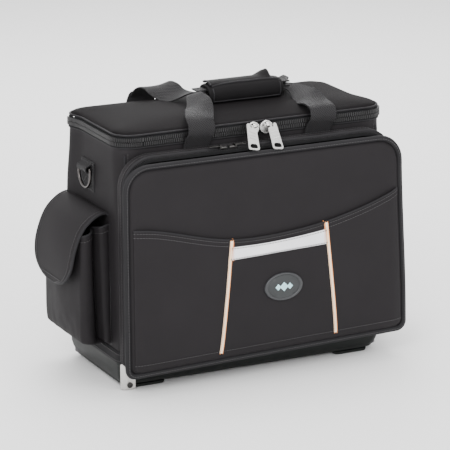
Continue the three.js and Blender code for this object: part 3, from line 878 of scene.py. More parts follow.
def wall_seams(shell):
    """Upright seams at the four corners and the tape round the foot of the cloth."""
    surface = surface_of(shell)
    cord = Shape()
    thread = Shape()
    for x in (-1, 1):
        for y, face in ((FRONT, -1), (REAR, 1)):
            for offset in (CORD_IN, THREAD_IN):
                ahead = Vector((0, face * 30, 0))
                line = [settle(Vector((x * (HALF - offset), y, z))) + ahead for z in range(46, 342, 8)]
                points, normals = lay(line, surface, (0, -face, 0), 0.2)
                if offset == CORD_IN:
                    cord.tube(points, 1.5, normals, sides=6)
                else:
                    stitches(thread, spaced(points, STITCH_PITCH), normals[0])
    make(cord, "corner_piping", BINDING, "root")

    band = Shape()
    rows = []
    for z, out in ((38.2, 5.6), (39.5, 6.6), (43, 5.6), (48, 3.4), (52, 1.6), (53.5, 0.4)):
        rows.append([p + UP * 1.2 * ripple(p, 60, 5) for p in foot_line(z, out)])
    band.grid(rows, around=True)
    dress(thicken(new_object(band, "foot_binding"), 1.2), BINDING, "root")
    for z, out in ((42.0, 6.6), (49.6, 3.4)):
        ring = spaced(foot_line(z, out), STITCH_PITCH, closed=True)
        ups = [a.cross(UP) for a in tangents(ring, True)]
        stitches(thread, ring, ups, True)
    make(thread, "body_stitching", THREAD, "root")


# ---------------------------------------------------------------- lid


def lid_cushion():
    shape = Shape()
    base = SEAM + 6.2
    profile = [(base, 6), (base, 0.5), (base + 3, 0.2), (base + 5.6, 1.4), (base + 7.4, 6), (base + 9, 16)]
    rows = [lid_plan(z, -inset) for z, inset in profile]
    for inset, rise in ((27, 9.8), (40, 10.4), (60, 10.8)):
        inner = rounded(-LID_HALF + inset, LID_FRONT + inset, LID_HALF - inset, LID_REAR - inset, 3)
        rows.append([Vector((x, y, base + rise)) for x, y in inner])
    shape.grid(rows, around=True).cap(rows[0]).cap(rows[-1])
    pad = new_object(shape.mapped(settle), "lid_cushion")

    def held(point):
        return smooth((base + 5.5 - point.z) / 4)

    swell(pad, held)
    return dress(pad, PAINTED_SHADE_LID_NYLON, "lid", ["lid_panel"])


def lid_lining():
    shape = Shape()
    profile = ((6.4, -9), (3.5, -7.5), (2, -9), (2.548, -20))
    rows = [lid_plan(SEAM + rise, margin) for rise, margin in profile]
    shape.grid(rows, around=True).cap(rows[0]).cap(rows[-1]).mapped(settle)
    make(shape, "lid_lining", LINING, "lid", ["lid_stiffener"])


def tape_band(z0, z1):
    """A strip of tape that stands round the top of the bag."""
    section = [(-1.4, z0), (-0.2, z0 + 0.4), (0.2, (z0 + z1) / 2), (-0.2, z1 - 0.4), (-1.4, z1)]
    rows = [lid_plan(z, out) for out, z in section]
    return Shape().grid(rows, around=True, along=True).mapped(settle)


def behind_hinge(point):
    return point.y > LID_REAR - LID_RADIUS * 0.6


LID_TOOTH_PITCH = 2.8


def lid_zip():
    upper = tape_band(SEAM + 0.9, SEAM + 6.6)
    make(upper, "lid_tape", TAPE, "lid", ["lid_border"])
    lower = tape_band(TOP - 1, SEAM - 0.9)
    make(lower, "body_tape", TAPE, "root", ["body_zip_tape"])
    for name, z, first, body in (("lid_teeth", SEAM + 2.9, 0, "lid"), ("body_teeth", SEAM - 2.9, 1, "root")):
        ring = spaced(lid_plan(z, 1.0), LID_TOOTH_PITCH / 2, closed=True)[first::2]
        teeth = Shape()
        ups = [a.cross(UP) for a in tangents(ring, True)]
        teeth.beads(ring, (1.8, 5.2, 2.6), ups, 0.2, True, behind_hinge).mapped(settle)
        dress(new_object(teeth, name, 30), COIL, body)
    for name, z, out, body in (("lid_welt", SEAM + 8.9, -1.7, "lid"), ("rim_welt", TOP - 0.4, -0.6, "root")):
        welt = Shape().tube(lid_plan(z, out), 1.5, UP, True, 8).mapped(settle)
        dress(new_object(welt, name), BINDING, body)


def lid_hinge():
    """The strip that joins the lid's rear edge to the wall at the hinge."""
    binding_low = low("lid_hinge_binding")
    binding_high = high("lid_hinge_binding")
    levels = (binding_low.z, 338, 344, 348, 350, 351, 352, 353, 354, 356, 359, SEAM + 8)
    across = [mix(binding_low.x, binding_high.x, i / 30) for i in range(31)]
    rows = [[Vector((x, binding_high.y + 0.4, z)) for x in across] for z in levels]
    strip = thicken(new_object(Shape().grid(rows), "lid_hinge_strip"), 1.2)
    dress(strip, BINDING, None, ["lid_hinge_binding"])
    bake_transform(strip)


# ---------------------------------------------------------------- front compartment


def gusset():
    rear = GUSSET_HIGH.y
    front = GUSSET_LOW.y
    shape = Shape()
    section = [
        (rear, -11.5), (rear, -4), (rear, 0), (mix(rear, front, 0.3), 1.4), (mix(rear, front, 0.65), 1.2),
        (front + 1, -0.6), (front + 1, -4), (rear - 2, -5), (rear - 2, -11.5),
    ]
    rows = []
    for y, out in section:
        line = gusset_line(y, out)
        rows.append([p + UP * 0.7 * ripple(p, 50, 2) for p in line])
    shape.grid(rows, around=True, along=True).mapped(hang)
    make(shape, "gusset_band", NYLON, "root", ["front_gusset"])
    welt = Shape().tube(gusset_line(front + 1.6, -1.6), 3.4, FORWARD, True, 10, 0.85).mapped(hang)
    make(welt, "gusset_welt", BINDING, "root")
    thread = Shape()
    for y, out in ((front + 6.5, 1.5), (rear - 3, 0.9)):
        ring = [hang(p) for p in spaced(gusset_line(y, out), STITCH_PITCH, closed=True)]
        ups = [a.cross(FORWARD) for a in tangents(ring, True)]
        stitches(thread, ring, ups, True)
    make(thread, "gusset_stitching", THREAD, "root")


def front_zip():
    near = low("front_zip").y
    far = high("front_zip").y
    tape = Shape()
    rows = [gusset_line(y, out) for y, out in ((far + 2, -7), (far + 2, -3.5), (near, -3.2), (near, -7))]
    tape.grid(rows, around=True, along=True).mapped(hang)
    make(tape, "front_zip_tape", TAPE, "root", ["front_zip"])
    ring = spaced(gusset_line(near + 1.0, -2.4), 2.6, closed=True)
    teeth = Shape()
    ups = [a.cross(FORWARD) for a in tangents(ring, True)]
    teeth.beads(ring, (1.6, 2.8, 1.8), ups, 0, True, lambda p: p.z < GUSSET_LOW.z + 4).mapped(hang)
    dress(new_object(teeth, "front_zip_teeth", 30), COIL, "root")


def panel_pad():
    """The padded panel: sewn round its edge, swollen between."""
    rear = PANEL_HIGH.y
    face = PANEL_LOW.y
    shape = Shape()
    profile = [(rear, 12), (rear, 3), (rear - 3, 0), (face + 6, 0), (face + 2.5, 3), (face + 0.8, 9)]
    rows = [panel_line(y, -out) for y, out in profile]
    rows.append(panel_line(face, -18))
    shape.grid(rows, around=True).cap(rows[0]).cap(rows[-1])
    pad = new_object(shape, "panel_pad")

    def held(point):
        inside_x = PANEL_HIGH.x - abs(point.x)
        inside_z = min(PANEL_HIGH.z - point.z, point.z - PANEL_LOW.z)
        edge = 1 - smooth((min(inside_x, inside_z) - 4) / 14)
        back = smooth((point.y - rear + 8) / 6)
        return max(edge, back)

    swell(pad, held)
    for vertex in pad.data.vertices:
        vertex.co = hang(vertex.co / METRES) * METRES
    return dress(pad, NYLON, "front_panel", ["panel_core"])


def panel_welt():
    near = (low("panel_border").y + high("panel_border").y) / 2
    line = [hang(p) for p in panel_line(near, 1.6)]
    welt = Shape().tube(line, 4.3, FORWARD, True, 12, 0.92)
    make(welt, "panel_welt", BINDING, "front_panel", ["panel_border"])
    rear = PANEL_HIGH.y
    section = ((near + 2, 1.5), (near + 5, 0.8), (rear - 2, 0.8), (rear, -3), (rear, -6), (near + 2, -6))
    rows = [panel_line(y, out) for y, out in section]
    band = Shape().grid(rows, around=True, along=True).mapped(hang)
    make(band, "panel_side", BINDING, "front_panel")
    back = Shape().tube([hang(p) for p in panel_line(rear - 2.5, -0.2)], 2.2, FORWARD, True, 8)
    make(back, "panel_back_welt", BINDING, "front_panel")
    thread = Shape()
    ring = [hang(p) for p in spaced(panel_line(near - 4.0, 1.6), STITCH_PITCH, closed=True)]
    stitches(thread, ring, FORWARD, True)
    make(thread, "panel_welt_stitching", THREAD, "front_panel")


MOUTH_LOWEST_X = -20
MOUTH_Z = 210


def pocket_edge(x):
    """Height of the front pocket's top edge: low in the middle, high at the ends."""
    if x < MOUTH_LOWEST_X:
        return MOUTH_Z + 31 * smooth(((MOUTH_LOWEST_X - x) / (HALF + MOUTH_LOWEST_X)) ** 1.15)
    return MOUTH_Z + 41 * ((x - MOUTH_LOWEST_X) / (HALF - MOUTH_LOWEST_X)) ** 2.1


def front_pocket(pad):
    """The pocket layer lies over the lower part of the panel, its mouth standing off a little."""
    surface = surface_of(pad)
    rows_up = 46
    side = high("front_pocket").x - 1
    bottom = POCKET_LOW.z - 9

    def spot(s, t):
        x = mix(-side, side, s)
        z = mix(bottom, pocket_edge(x), t)
        at = hang(Vector((x, 0, z)))
        (point,), _ = lay([at + FORWARD * 60], surface, -FORWARD)
        row = t * rows_up
        edges = min(1, (side - abs(x)) / 14) * min(1, row / 5)
        mouth = smooth((row - rows_up + 9) / 9)
        off = 1.0 + 2.0 * smooth(edges) + 0.7 * mouth + 0.7 * ripple((x, 0, z), 60, 6) * edges
        return Vector((at.x, point.y - off, at.z))

    rows = sheet_rows(84, rows_up, spot)
    layer = soft_sheet(new_object(Shape().grid(rows), "front_pocket_layer", 60), 1.6)
    dress(layer, NYLON, "front_panel", ["front_pocket"])
    edge = Shape().tube([p + FORWARD * 0.3 for p in rows[-1]], 1.5, FORWARD, False, 8, 0.8)
    make(edge, "front_pocket_hem", BINDING, "front_panel")
    return layer


# each trim: its name, then where it meets the pocket's mouth and where it ends
TRIMS = (("left", -57, -71), ("right", 86, 101))


def pocket_details(layer, pad):
    surface = surface_of(layer, pad)
    thread = Shape()
    side = high("front_pocket").x - 2

    def across(drop):
        line = [Vector((mix(-side, side, i / 60), -200, 0)) for i in range(61)]
        for p in line:
            p.z = pocket_edge(p.x) - drop
        return [hang(p) for p in line]

    for drop in (3.2, 9.0):
        sewn(thread, across(drop), surface, -FORWARD)
    hem = [hang(Vector((mix(-side, side, i / 60), -200, POCKET_LOW.z + 4))) for i in range(61)]
    sewn(thread, hem, surface, -FORWARD)
    make(thread, "pocket_stitching", THREAD, "front_panel")

    strip_low = low("reflective_strip")
    for name, top_x, low_x in TRIMS:
        top_z = pocket_edge(top_x) - 1
        line = [hang(Vector((mix(low_x, top_x, i / 40), -200, mix(50, top_z, i / 40)))) for i in range(41)]
        points, normals = lay(line, surface, -FORWARD, 0.4)
        ribbon = Shape()
        section = [(-2.4, -0.3), (-2.1, 0.5), (0, 0.9), (2.1, 0.5), (2.4, -0.3)]
        ribbon.sweep(points, section, normals)
        make(ribbon, f"trim_{name}", TRIM, "front_panel", [f"trim_cord_{name}"])
        orange = Shape()
        turn_in = 1 if name == "left" else -1
        for off in (-1.9, 1.9):
            moved, _ = lay([p + Vector((off, 0, 0)) for p in line], surface, -FORWARD, 1.25)
            orange.beads(spaced(moved, 3.4), (2.8, 0.7, 0.6), FORWARD)
        tail_x = top_x + 2.6 * turn_in
        tail = [hang(Vector((tail_x, -200, top_z + 2 - i * 4.4))) for i in range(8)]
        moved, ups = lay(tail, surface, -FORWARD, 0.5)
        orange.tube(moved, 0.55, ups, sides=6)
        make(orange, f"trim_{name}_thread", ORANGE, "front_panel")

    def spot(s, t):
        x = mix(mix(-58.5, 86.0, s), mix(-56.5, 84.5, s), t)
        z_low = mix(strip_low.z + 0.5, strip_low.z + 3.5, s)
        z_top = mix(pocket_edge(-57), pocket_edge(84), s) - 10.5 - 3.0 * math.sin(math.pi * s)
        return hang(Vector((x, -200, mix(z_low, z_top, t))))

    rows = [lay(row, surface, -FORWARD, 0.9)[0] for row in sheet_rows(40, 6, spot)]
    strip = thicken(new_object(Shape().grid(rows), "reflective_band"), 0.8)
    dress(strip, SILVER, "front_panel", ["reflective_strip"])
    edge = Shape()
    for row in (rows[0], rows[-1]):
        inner = [p.lerp(q, 0.16) for p, q in zip(row, rows[3])]
        seam = spaced([p + FORWARD * 0.9 for p in inner], STITCH_PITCH)
        edge.beads(seam, STITCH, FORWARD)
    make(edge, "reflective_stitching", THREAD, "front_panel")


LOZENGE = ((1, 0), (0.5, 0.5), (0, 1), (-0.5, 0.5), (-1, 0), (-0.5, -0.5), (0, -1), (0.5, -0.5))


def badge(layer, pad):
    surface = surface_of(layer, pad)
    plate_low = low("badge_plate")
    plate_high = high("badge_plate")
    centre = (plate_low + plate_high) / 2
    half_x = (plate_high.x - plate_low.x) / 2
    half_z = (plate_high.z - plate_low.z) / 2
    (seat,), _ = lay([hang(Vector((centre.x, -200, centre.z)))], surface, -FORWARD)
    middle = seat + FORWARD * 0.2

    def oval(share, lift):
        ring = []
        for i in range(56):
            a = 2 * math.pi * i / 56
            ring.append(middle + Vector((half_x * share * math.cos(a), -lift, half_z * share * math.sin(a))))
        return ring

    profile = [(1.0, -3), (1.0, 1.6), (0.98, 2.6), (0.94, 3.0), (0.89, 2.9), (0.86, 2.2), (0.84, 1.9)]
    rim = Shape().grid([oval(s, h) for s, h in profile], around=True)
    rim.cap(oval(0.84, 1.9)).cap(oval(1.0, -3))
    make(rim, "badge_body", RIM, "front_panel", ["badge_plate"])
    field = Shape().grid([oval(0.85, 1.7), oval(0.83, 2.15), oval(0.5, 2.5)], around=True)
    field.cap(oval(0.5, 2.5))
    make(field, "badge_field", RUBBER, "front_panel")
    motif = Shape()
    for dx, size in ((-9, 0.7), (0, 1.0), (9, 0.7)):
        rows = []
        for lift, share in ((2.2, 1.0), (3.0, 1.0), (3.3, 0.8)):
            w, h = 6.4 * size * share, 6.6 * size * share
            rows.append([middle + Vector((dx + x * w, -lift, z * h)) for x, z in LOZENGE])
        motif.grid(rows, around=True).cap(rows[-1])
    dress(new_object(motif, "badge_lozenges", 20), INLAY, "front_panel", ["badge_motif"])


def organiser():
    """Three slip pockets on the panel's inside."""
    lowest = low("panel_organiser")
    highest = high("panel_organiser")
    columns = 60

    def spot(s, t):
        bay = abs(math.sin(math.pi * 3 * s))
        out = 1.5 + 5.5 * bay**0.6 * smooth(t * 2.5)
        x = mix(lowest.x, highest.x, s)
        return hang(Vector((x, lowest.y + out, mix(lowest.z, highest.z - 20, t))))

    rows = sheet_rows(columns, 14, spot)
    sleeve = thicken(new_object(Shape().grid(rows), "organiser_pockets", 60), 1.2)
    dress(sleeve, LINING, "front_panel", ["panel_organiser"])
    edge = Shape().tube(rows[-1], 1.6, Vector((0, 1, 0)), False, 8)
    for share in (1 / 3, 2 / 3):
        i = round(share * columns)
        edge.tube([r[i] for r in rows], 0.9, Vector((0, 1, 0)), False, 6)
    make(edge, "organiser_binding", BINDING, "front_panel")
    outline = [panel_line(PANEL_HIGH.y + 0.2, -5), panel_line(PANEL_HIGH.y + 1.0, -9)]
    backing = Shape().grid(outline, around=True).cap(outline[1]).mapped(hang)
    make(backing, "panel_lining", LINING, "front_panel")


# ---------------------------------------------------------------- end pockets


def pocket_section(z, share):
    """The end pocket cut at one height: bellows gussets and a full face. share is how far out it reaches."""
    lowest = low("left_pocket")
    highest = high("left_pocket")
    front, rear = lowest.y, highest.y
    wall = highest.x
    reach = (wall - lowest.x) * share
    belly = 5.0 * math.sin(math.pi * min(1, (z - lowest.z) / (highest.z - lowest.z)) ** 0.8) * share
    rise = (z - lowest.z) / (highest.z - lowest.z)
    fold = wall - reach * mix(0.30, 0.42, rise)
    knots = [
        (wall - 1, front - 2.5),
        (mix(wall, fold, 0.35), front - 4.5),
        (mix(wall, fold, 0.75), front - 3.0),
        (fold + 1.5 * share, front + 5.0 * share),
        (fold - 2.0 * share, front + 15.0 * share),
        (fold - 6.0 * share, front + 8.0 * share),
        (mix(fold, wall - reach, 0.42), front - 2.0),
        (mix(fold, wall - reach, 0.72), front - 4.0),
        (wall - reach * 0.97, front - 1.0),
        (wall - reach, front + 5.0),
        (wall - reach - belly * 0.55, mix(front, rear, 0.22)),
        (wall - reach - belly, mix(front, rear, 0.5)),
    ]
    mirrored = [(x, front + rear - y) for x, y in reversed(knots[:-1])]
    return spline([Vector((x, y, z)) for x, y in knots + mirrored], 110)


def end_pocket(name, side):
    lowest = low("left_pocket")
    highest = high("left_pocket")
    rows = []
    for share, rise in ((0.02, 0), (0.4, 0), (0.8, 0.5), (0.96, 2.5), (0.99, 7), (1, 23)):
        rows.append(pocket_section(lowest.z + rise, share))
    for i in range(1, 24):
        z = mix(lowest.z + 23, highest.z, i / 23)
        rows.append(pocket_section(z, 1.0 - 0.04 * smooth(i / 23)))
    for j, row in enumerate(rows):
        for p in row:
            low_down = 1 - smooth((p.z - lowest.z) / 70)
            crumple = ripple((p.x, p.y, p.z * 1.6), 15, 4) * (0.5 + 2.2 * low_down)
            push = Vector((ripple(p, 42, 4) + crumple * 0.5, ripple(p, 42, 9) + crumple, 0))
            p += push * 0.9 * smooth(j / 5)
            p.z -= 13.0 * smooth((-p.x - HALF) / 44) * smooth((p.z - lowest.z - 40) / 120)
    shape = Shape().grid(rows).mirrored(side)
    pocket = soft_sheet(new_object(shape, f"{name}_pocket_cloth", 70), 1.8)
    dress(pocket, NYLON, "root", [f"{name}_pocket"])
    edge = Shape().tube(rows[-1], 1.9, UP, False, 8)
    hem = [p - UP * 8 for p in rows[-1]]
    for corner in (0, -1):
        edge.tube([r[corner] + Vector((-1.0, 0, 0)) for r in rows], 1.2, Vector((-1, 0, 0)), False, 6)
    edge.mirrored(side)
    make(edge, f"{name}_pocket_binding", BINDING, "root")
    thread = Shape()
    middle = Vector((-HALF - 20, 30))
    line = spaced(hem, STITCH_PITCH)
    ups = [Vector((p.x - middle.x, p.y - middle.y, 0)).normalized() for p in line]
    stitches(thread, [p + u * 1.3 for p, u in zip(line, ups)], ups)
    for y in (lowest.y - 6, highest.y + 6):
        seam = [Vector((-HALF - 2.2, y, z)) for z in range(58, 232, 4)]
        stitches(thread, seam, Vector((-1, 0, 0)))
    thread.mirrored(side)
    make(thread, f"{name}_pocket_stitching", THREAD, "root")


def flap_line():
    """The flap seen from the bag's front: out from its seam, over the pocket and down."""
    knots = [
        (-200.6, 243.5), (-206, 246.5), (-215, 246.0), (-226, 241.5), (-237, 232.5), (-245, 220),
        (-251, 204), (-255.5, 187), (-258.5, 170), (-260.5, 156), (-261, 140.5),
    ]
    return spline([Vector((x, 0, z)) for x, z in knots], 44)


def end_flap(name, side):
    lowest = low("left_flap")
    highest = high("left_flap")
    middle = (lowest.y + highest.y) / 2
    half = (highest.y - lowest.y) / 2
    line = flap_line()
    count = len(line)
    rows = []
    for i, spot in enumerate(line):
        t = i / (count - 1)
        closing = min(0.985, max(0.0, (186 - spot.z) / 46)) if t > 0.5 else 0.0
        width = half * (1 - closing**2.3) ** (1 / 2.3)
        row = []
        for k in range(37):
            s = k / 18 - 1
            bow = (1 - s * s) * 3.0 * math.sin(math.pi * min(1, t * 1.1))
            curl = -3.0 * abs(s) ** 3 * math.sin(math.pi * min(1, t * 1.6)) * smooth(t * 4)
            wobble = 0.7 * ripple((spot.z, s * 60, 0), 40, 11)
            out = bow * smooth(t * 3) + wobble * t
            row.append(Vector((spot.x - out, middle + s * width, spot.z + curl)))
        rows.append(row)
    shape = Shape().grid(rows).mirrored(side)
    flap = soft_sheet(new_object(shape, f"{name}_flap_cloth", 70), 3.0)
    dress(flap, NYLON, None, [f"{name}_flap"])
    edge_line = [r[0] for r in rows] + rows[-1][1:-1] + [r[-1] for r in reversed(rows)]
    edge = Shape().tube(spaced(edge_line, 5.0), 2.1, UP, False, 8)
    edge.mirrored(side)
    binding = new_object(edge, f"{name}_flap_binding")
    dress(binding, BINDING)
    inset = [r[2] for r in rows[2:]]
    inset += [p.lerp(rows[-4][k + 3], 0.8) for k, p in enumerate(rows[-1][3:-3])]
    inset += [r[-3] for r in reversed(rows[2:])]
    path = spaced(inset, STITCH_PITCH)
    ups = [Vector((-1, 0, 0.6 if p.z > 215 else 0.05)).normalized() for p in path]
    thread = Shape()
    stitches(thread, [p + u * 1.7 for p, u in zip(path, ups)], ups)
    thread.mirrored(side)
    sewing = new_object(thread, f"{name}_flap_stitching")
    dress(sewing, THREAD)
    for part in (flap, binding, sewing):
        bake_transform(part)


def touch_tape(name, side):
    for node, body in ((f"{name}_pocket_loop_tape", "root"), (f"{name}_flap_hook_tape", f"{name}_flap")):
        lowest, highest = low(node), high(node)
        shape = Shape().block(lowest, highest, 0.4)
        make(shape, f"{node}_strip", HOOKS, body, [node])


# ---------------------------------------------------------------- rings


# the webbing sleeve round the ring's bar, from its top end: out from the wall, and up from the bar
SLEEVE = ((2, 9), (4, 6.5), (7.4, 4.6), (11, 2.6), (11.8, -1), (9.5, -4.2), (5, -5.2), (2, -9))
BOX_MARGIN = 3.5


def ring_and_tab(name, side):
    lowest = low("left_ring")
    highest = high("left_ring")
    bar_z = highest.z - 2
    x = (lowest.x + highest.x) / 2
    y = (lowest.y + highest.y) / 2
    half = (highest.y - lowest.y) / 2 - 2
    drop = highest.z - lowest.z - 4
    turns = [math.pi * (1 + i / 24) for i in range(25)]
    bow = [Vector((x, y + half * math.cos(a), bar_z - 8 + (drop - 8) * math.sin(a))) for a in turns]
    line = [Vector((x, y - half, bar_z - 2)), *bow, Vector((x, y + half, bar_z - 2))]
    corner = [Vector((x, y + half - 1, bar_z)), Vector((x, y - half + 1, bar_z))]
    wire = Shape().tube(spaced(line + corner, 2.2, closed=True), 2.0, Vector((1, 0, 0)), True, 10)
    wire.mirrored(side)
    dress(new_object(wire, f"{name}_ring_wire", 60), BLACK_NICKEL, f"{name}_ring", [f"{name}_ring"])

    tab_low = low("left_ring_tab")
    tab_high = high("left_ring_tab")
    wall = tab_high.x
    tab = Shape()
    tab.block((wall - 2.4, tab_low.y, tab_low.z), (wall + 1.5, tab_high.y, tab_high.z), 0.8)
    path = spline([Vector((wall - out, y, bar_z + rise)) for out, rise in SLEEVE], 26)
    ups = [UP if abs(t.x) > 0.5 else Vector((-1, 0, 0)) for t in tangents(path)]
    tab.sweep(path, [(15.5 * s, 0.8 * u) for s, u in CORNERS], ups)
    tab.mirrored(side)
    make(tab, f"{name}_ring_patch", WEBBING, "root", [f"{name}_ring_tab"])
    thread = Shape()
    face = wall - 2.6
    y0, y1 = tab_low.y + BOX_MARGIN, tab_high.y - BOX_MARGIN
    z0, z1 = tab_low.z + BOX_MARGIN, tab_high.z - BOX_MARGIN
    square = [Vector((face, a, b)) for a, b in ((y0, z0), (y1, z0), (y1, z1), (y0, z1))]
    crossed_box(thread, square, Vector((-1, 0, 0)))
    thread.mirrored(side)
    make(thread, f"{name}_ring_stitching", THREAD, "root")


# ---------------------------------------------------------------- handles


# the strap cut across: share of its half width, then height
STRAP_SECTION = (
    (-1, 0), (-0.97, 1.1), (-0.5, 1.2), (0, 1.25), (0.5, 1.2), (0.97, 1.1),
    (1, 0), (0.97, -1.0), (0.5, -1.05), (0, -1.05), (-0.5, -1.05), (-0.97, -1.0),
)
CORE_X = (-45, -20, 20, 60, 100)
TUCK = 14


def strap(shape, knots, count, width=WEBBING_WIDTH, twist=None):
    """A flat strap through knots, its width lying along X unless it is twisted."""
    path = spline(knots, count)
    along = tangents(path)
    rows = []
    for i, (point, ahead) in enumerate(zip(path, along)):
        t = i / (count - 1)
        wide = Vector((1, 0, 0))
        wide = (wide - ahead * wide.dot(ahead)).normalized()
        if twist:
            wide = (Matrix.Rotation(twist(t), 3, ahead) @ wide).normalized()
        normal = ahead.cross(wide).normalized()
        half = width(t) / 2 if callable(width) else width / 2
        rows.append([point + wide * s * half + normal * n for s, n in STRAP_SECTION])
    shape.grid(rows, around=True).cap(rows[0]).cap(rows[-1])


def narrowing(t):
    """Webbing folds narrower where it runs into the grip."""
    return mix(WEBBING_WIDTH, 19, smooth((t - 0.6) / 0.34))


# each strap: x where it is sewn, where it crosses the lid's edge and where it meets the
# grip, and its heights on the way
FRONT_STRAPS = (
    (-86, -80, -50, (366, 374.5, 381, 386.5, 390)),
    (101, 108, 103, (365, 372.5, 376, 379.5, 383)),
)
REAR_STRAPS = (
    (-90, -81, -54, (366, 376, 384.5, 384, 380)),
    (103, 106, 102, (366, 373, 376, 377, 379)),
)


def front_twist(t):
    return -0.5 * smooth((t - 0.5) / 0.2) * smooth((1 - t) / 0.2)


def rear_twist(t):
    return 0.45 * smooth((t - 0.35) / 0.2) * smooth((1 - t) / 0.25)


def front_straps():
    y = low("strap_anchor_front_left").y - 0.2
    core = high("front_handle_webbing").z - 2
    back = (low("grip_wrap").y + high("grip_wrap").y) / 2
    shape = Shape()
    thread = Shape()
    for anchor, edge, meets, heights in FRONT_STRAPS:
        knots = [
            (anchor, y, 301), (anchor, y - 0.3, 318), (anchor, y - 0.6, 334),
            (mix(anchor, edge, 0.3), y - 4, 346), (mix(anchor, edge, 0.7), y - 9, 356),
            (edge, y - 7, heights[0]), (edge, y, heights[1]),
            (mix(edge, meets, 0.3), y + 20, heights[2]), (mix(edge, meets, 0.66), y + 48, heights[3]),
            (mix(edge, meets, 0.9), back - 14, heights[4]), (tucked_in(meets), back, core + 1),
        ]
        strap(shape, knots, 56, narrowing, front_twist)
        box_stitch(thread, anchor, y - 1.5, 303, 331, FORWARD)
    strap_core(shape, back, core + 1)
    piece = new_object(shape, "front_straps")
    nodes = ["front_handle_webbing", "strap_anchor_front_left", "strap_anchor_front_right"]
    dress(piece, WEBBING, None, nodes)
    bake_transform(piece)
    make(thread, "front_strap_stitching", THREAD, "root")


def tucked_in(x):
    """Where a strap's end lies once it has run a little way into the grip."""
    return x + math.copysign(TUCK, -x)


def strap_core(shape, y, z):
    """The webbing lies flat through the grip."""
    rows = [[Vector((x, y + 9 * a, z + b)) for a, b in CORNERS] for x in CORE_X]
    shape.grid(rows, around=True).cap(rows[0]).cap(rows[-1])


def box_stitch(thread, x, y, z0, z1, up):
    half = WEBBING_WIDTH / 2 - 4
    x0, x1 = x - half, x + half
    crossed_box(thread, [Vector((a, y, b)) for a, b in ((x0, z0), (x1, z0), (x1, z1), (x0, z1))], up)


def rear_straps():
    y = high("strap_anchor_rear_left").y + 0.2
    core = high("rear_handle_webbing").z - 4
    back = (low("grip_wrap").y + high("grip_wrap").y) / 2
    anchors = Shape()
    lifted = Shape()
    thread = Shape()
    for anchor, edge, meets, heights in REAR_STRAPS:
        strap(anchors, [(anchor, y, 301), (anchor, y + 0.3, 325), (anchor, y + 0.5, 350)], 12)
        knots = [
            (anchor, y + 0.6, 349), (mix(anchor, edge, 0.4), y + 3.5, 359), (edge, y + 4, heights[0]),
            (edge, y - 3, heights[1]), (mix(edge, meets, 0.2), y - 17, heights[2]),
            (mix(edge, meets, 0.5), y - 38, heights[3]), (mix(edge, meets, 0.85), y - 62, heights[4]),
            (tucked_in(meets), back, core - 4),
        ]
        strap(lifted, knots, 44, narrowing, rear_twist)
        box_stitch(thread, anchor, y + 1.5, 303, 331, -FORWARD)
    strap_core(lifted, back, core)
    nodes = ["strap_anchor_rear_left", "strap_anchor_rear_right"]
    make(anchors, "rear_strap_anchors", WEBBING, "root", nodes)
    piece = new_object(lifted, "rear_straps")
    dress(piece, WEBBING, None, ["rear_handle_webbing"])
    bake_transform(piece)
    make(thread, "rear_strap_stitching", THREAD, "root")


GRIP_ROUNDNESS = 0.82


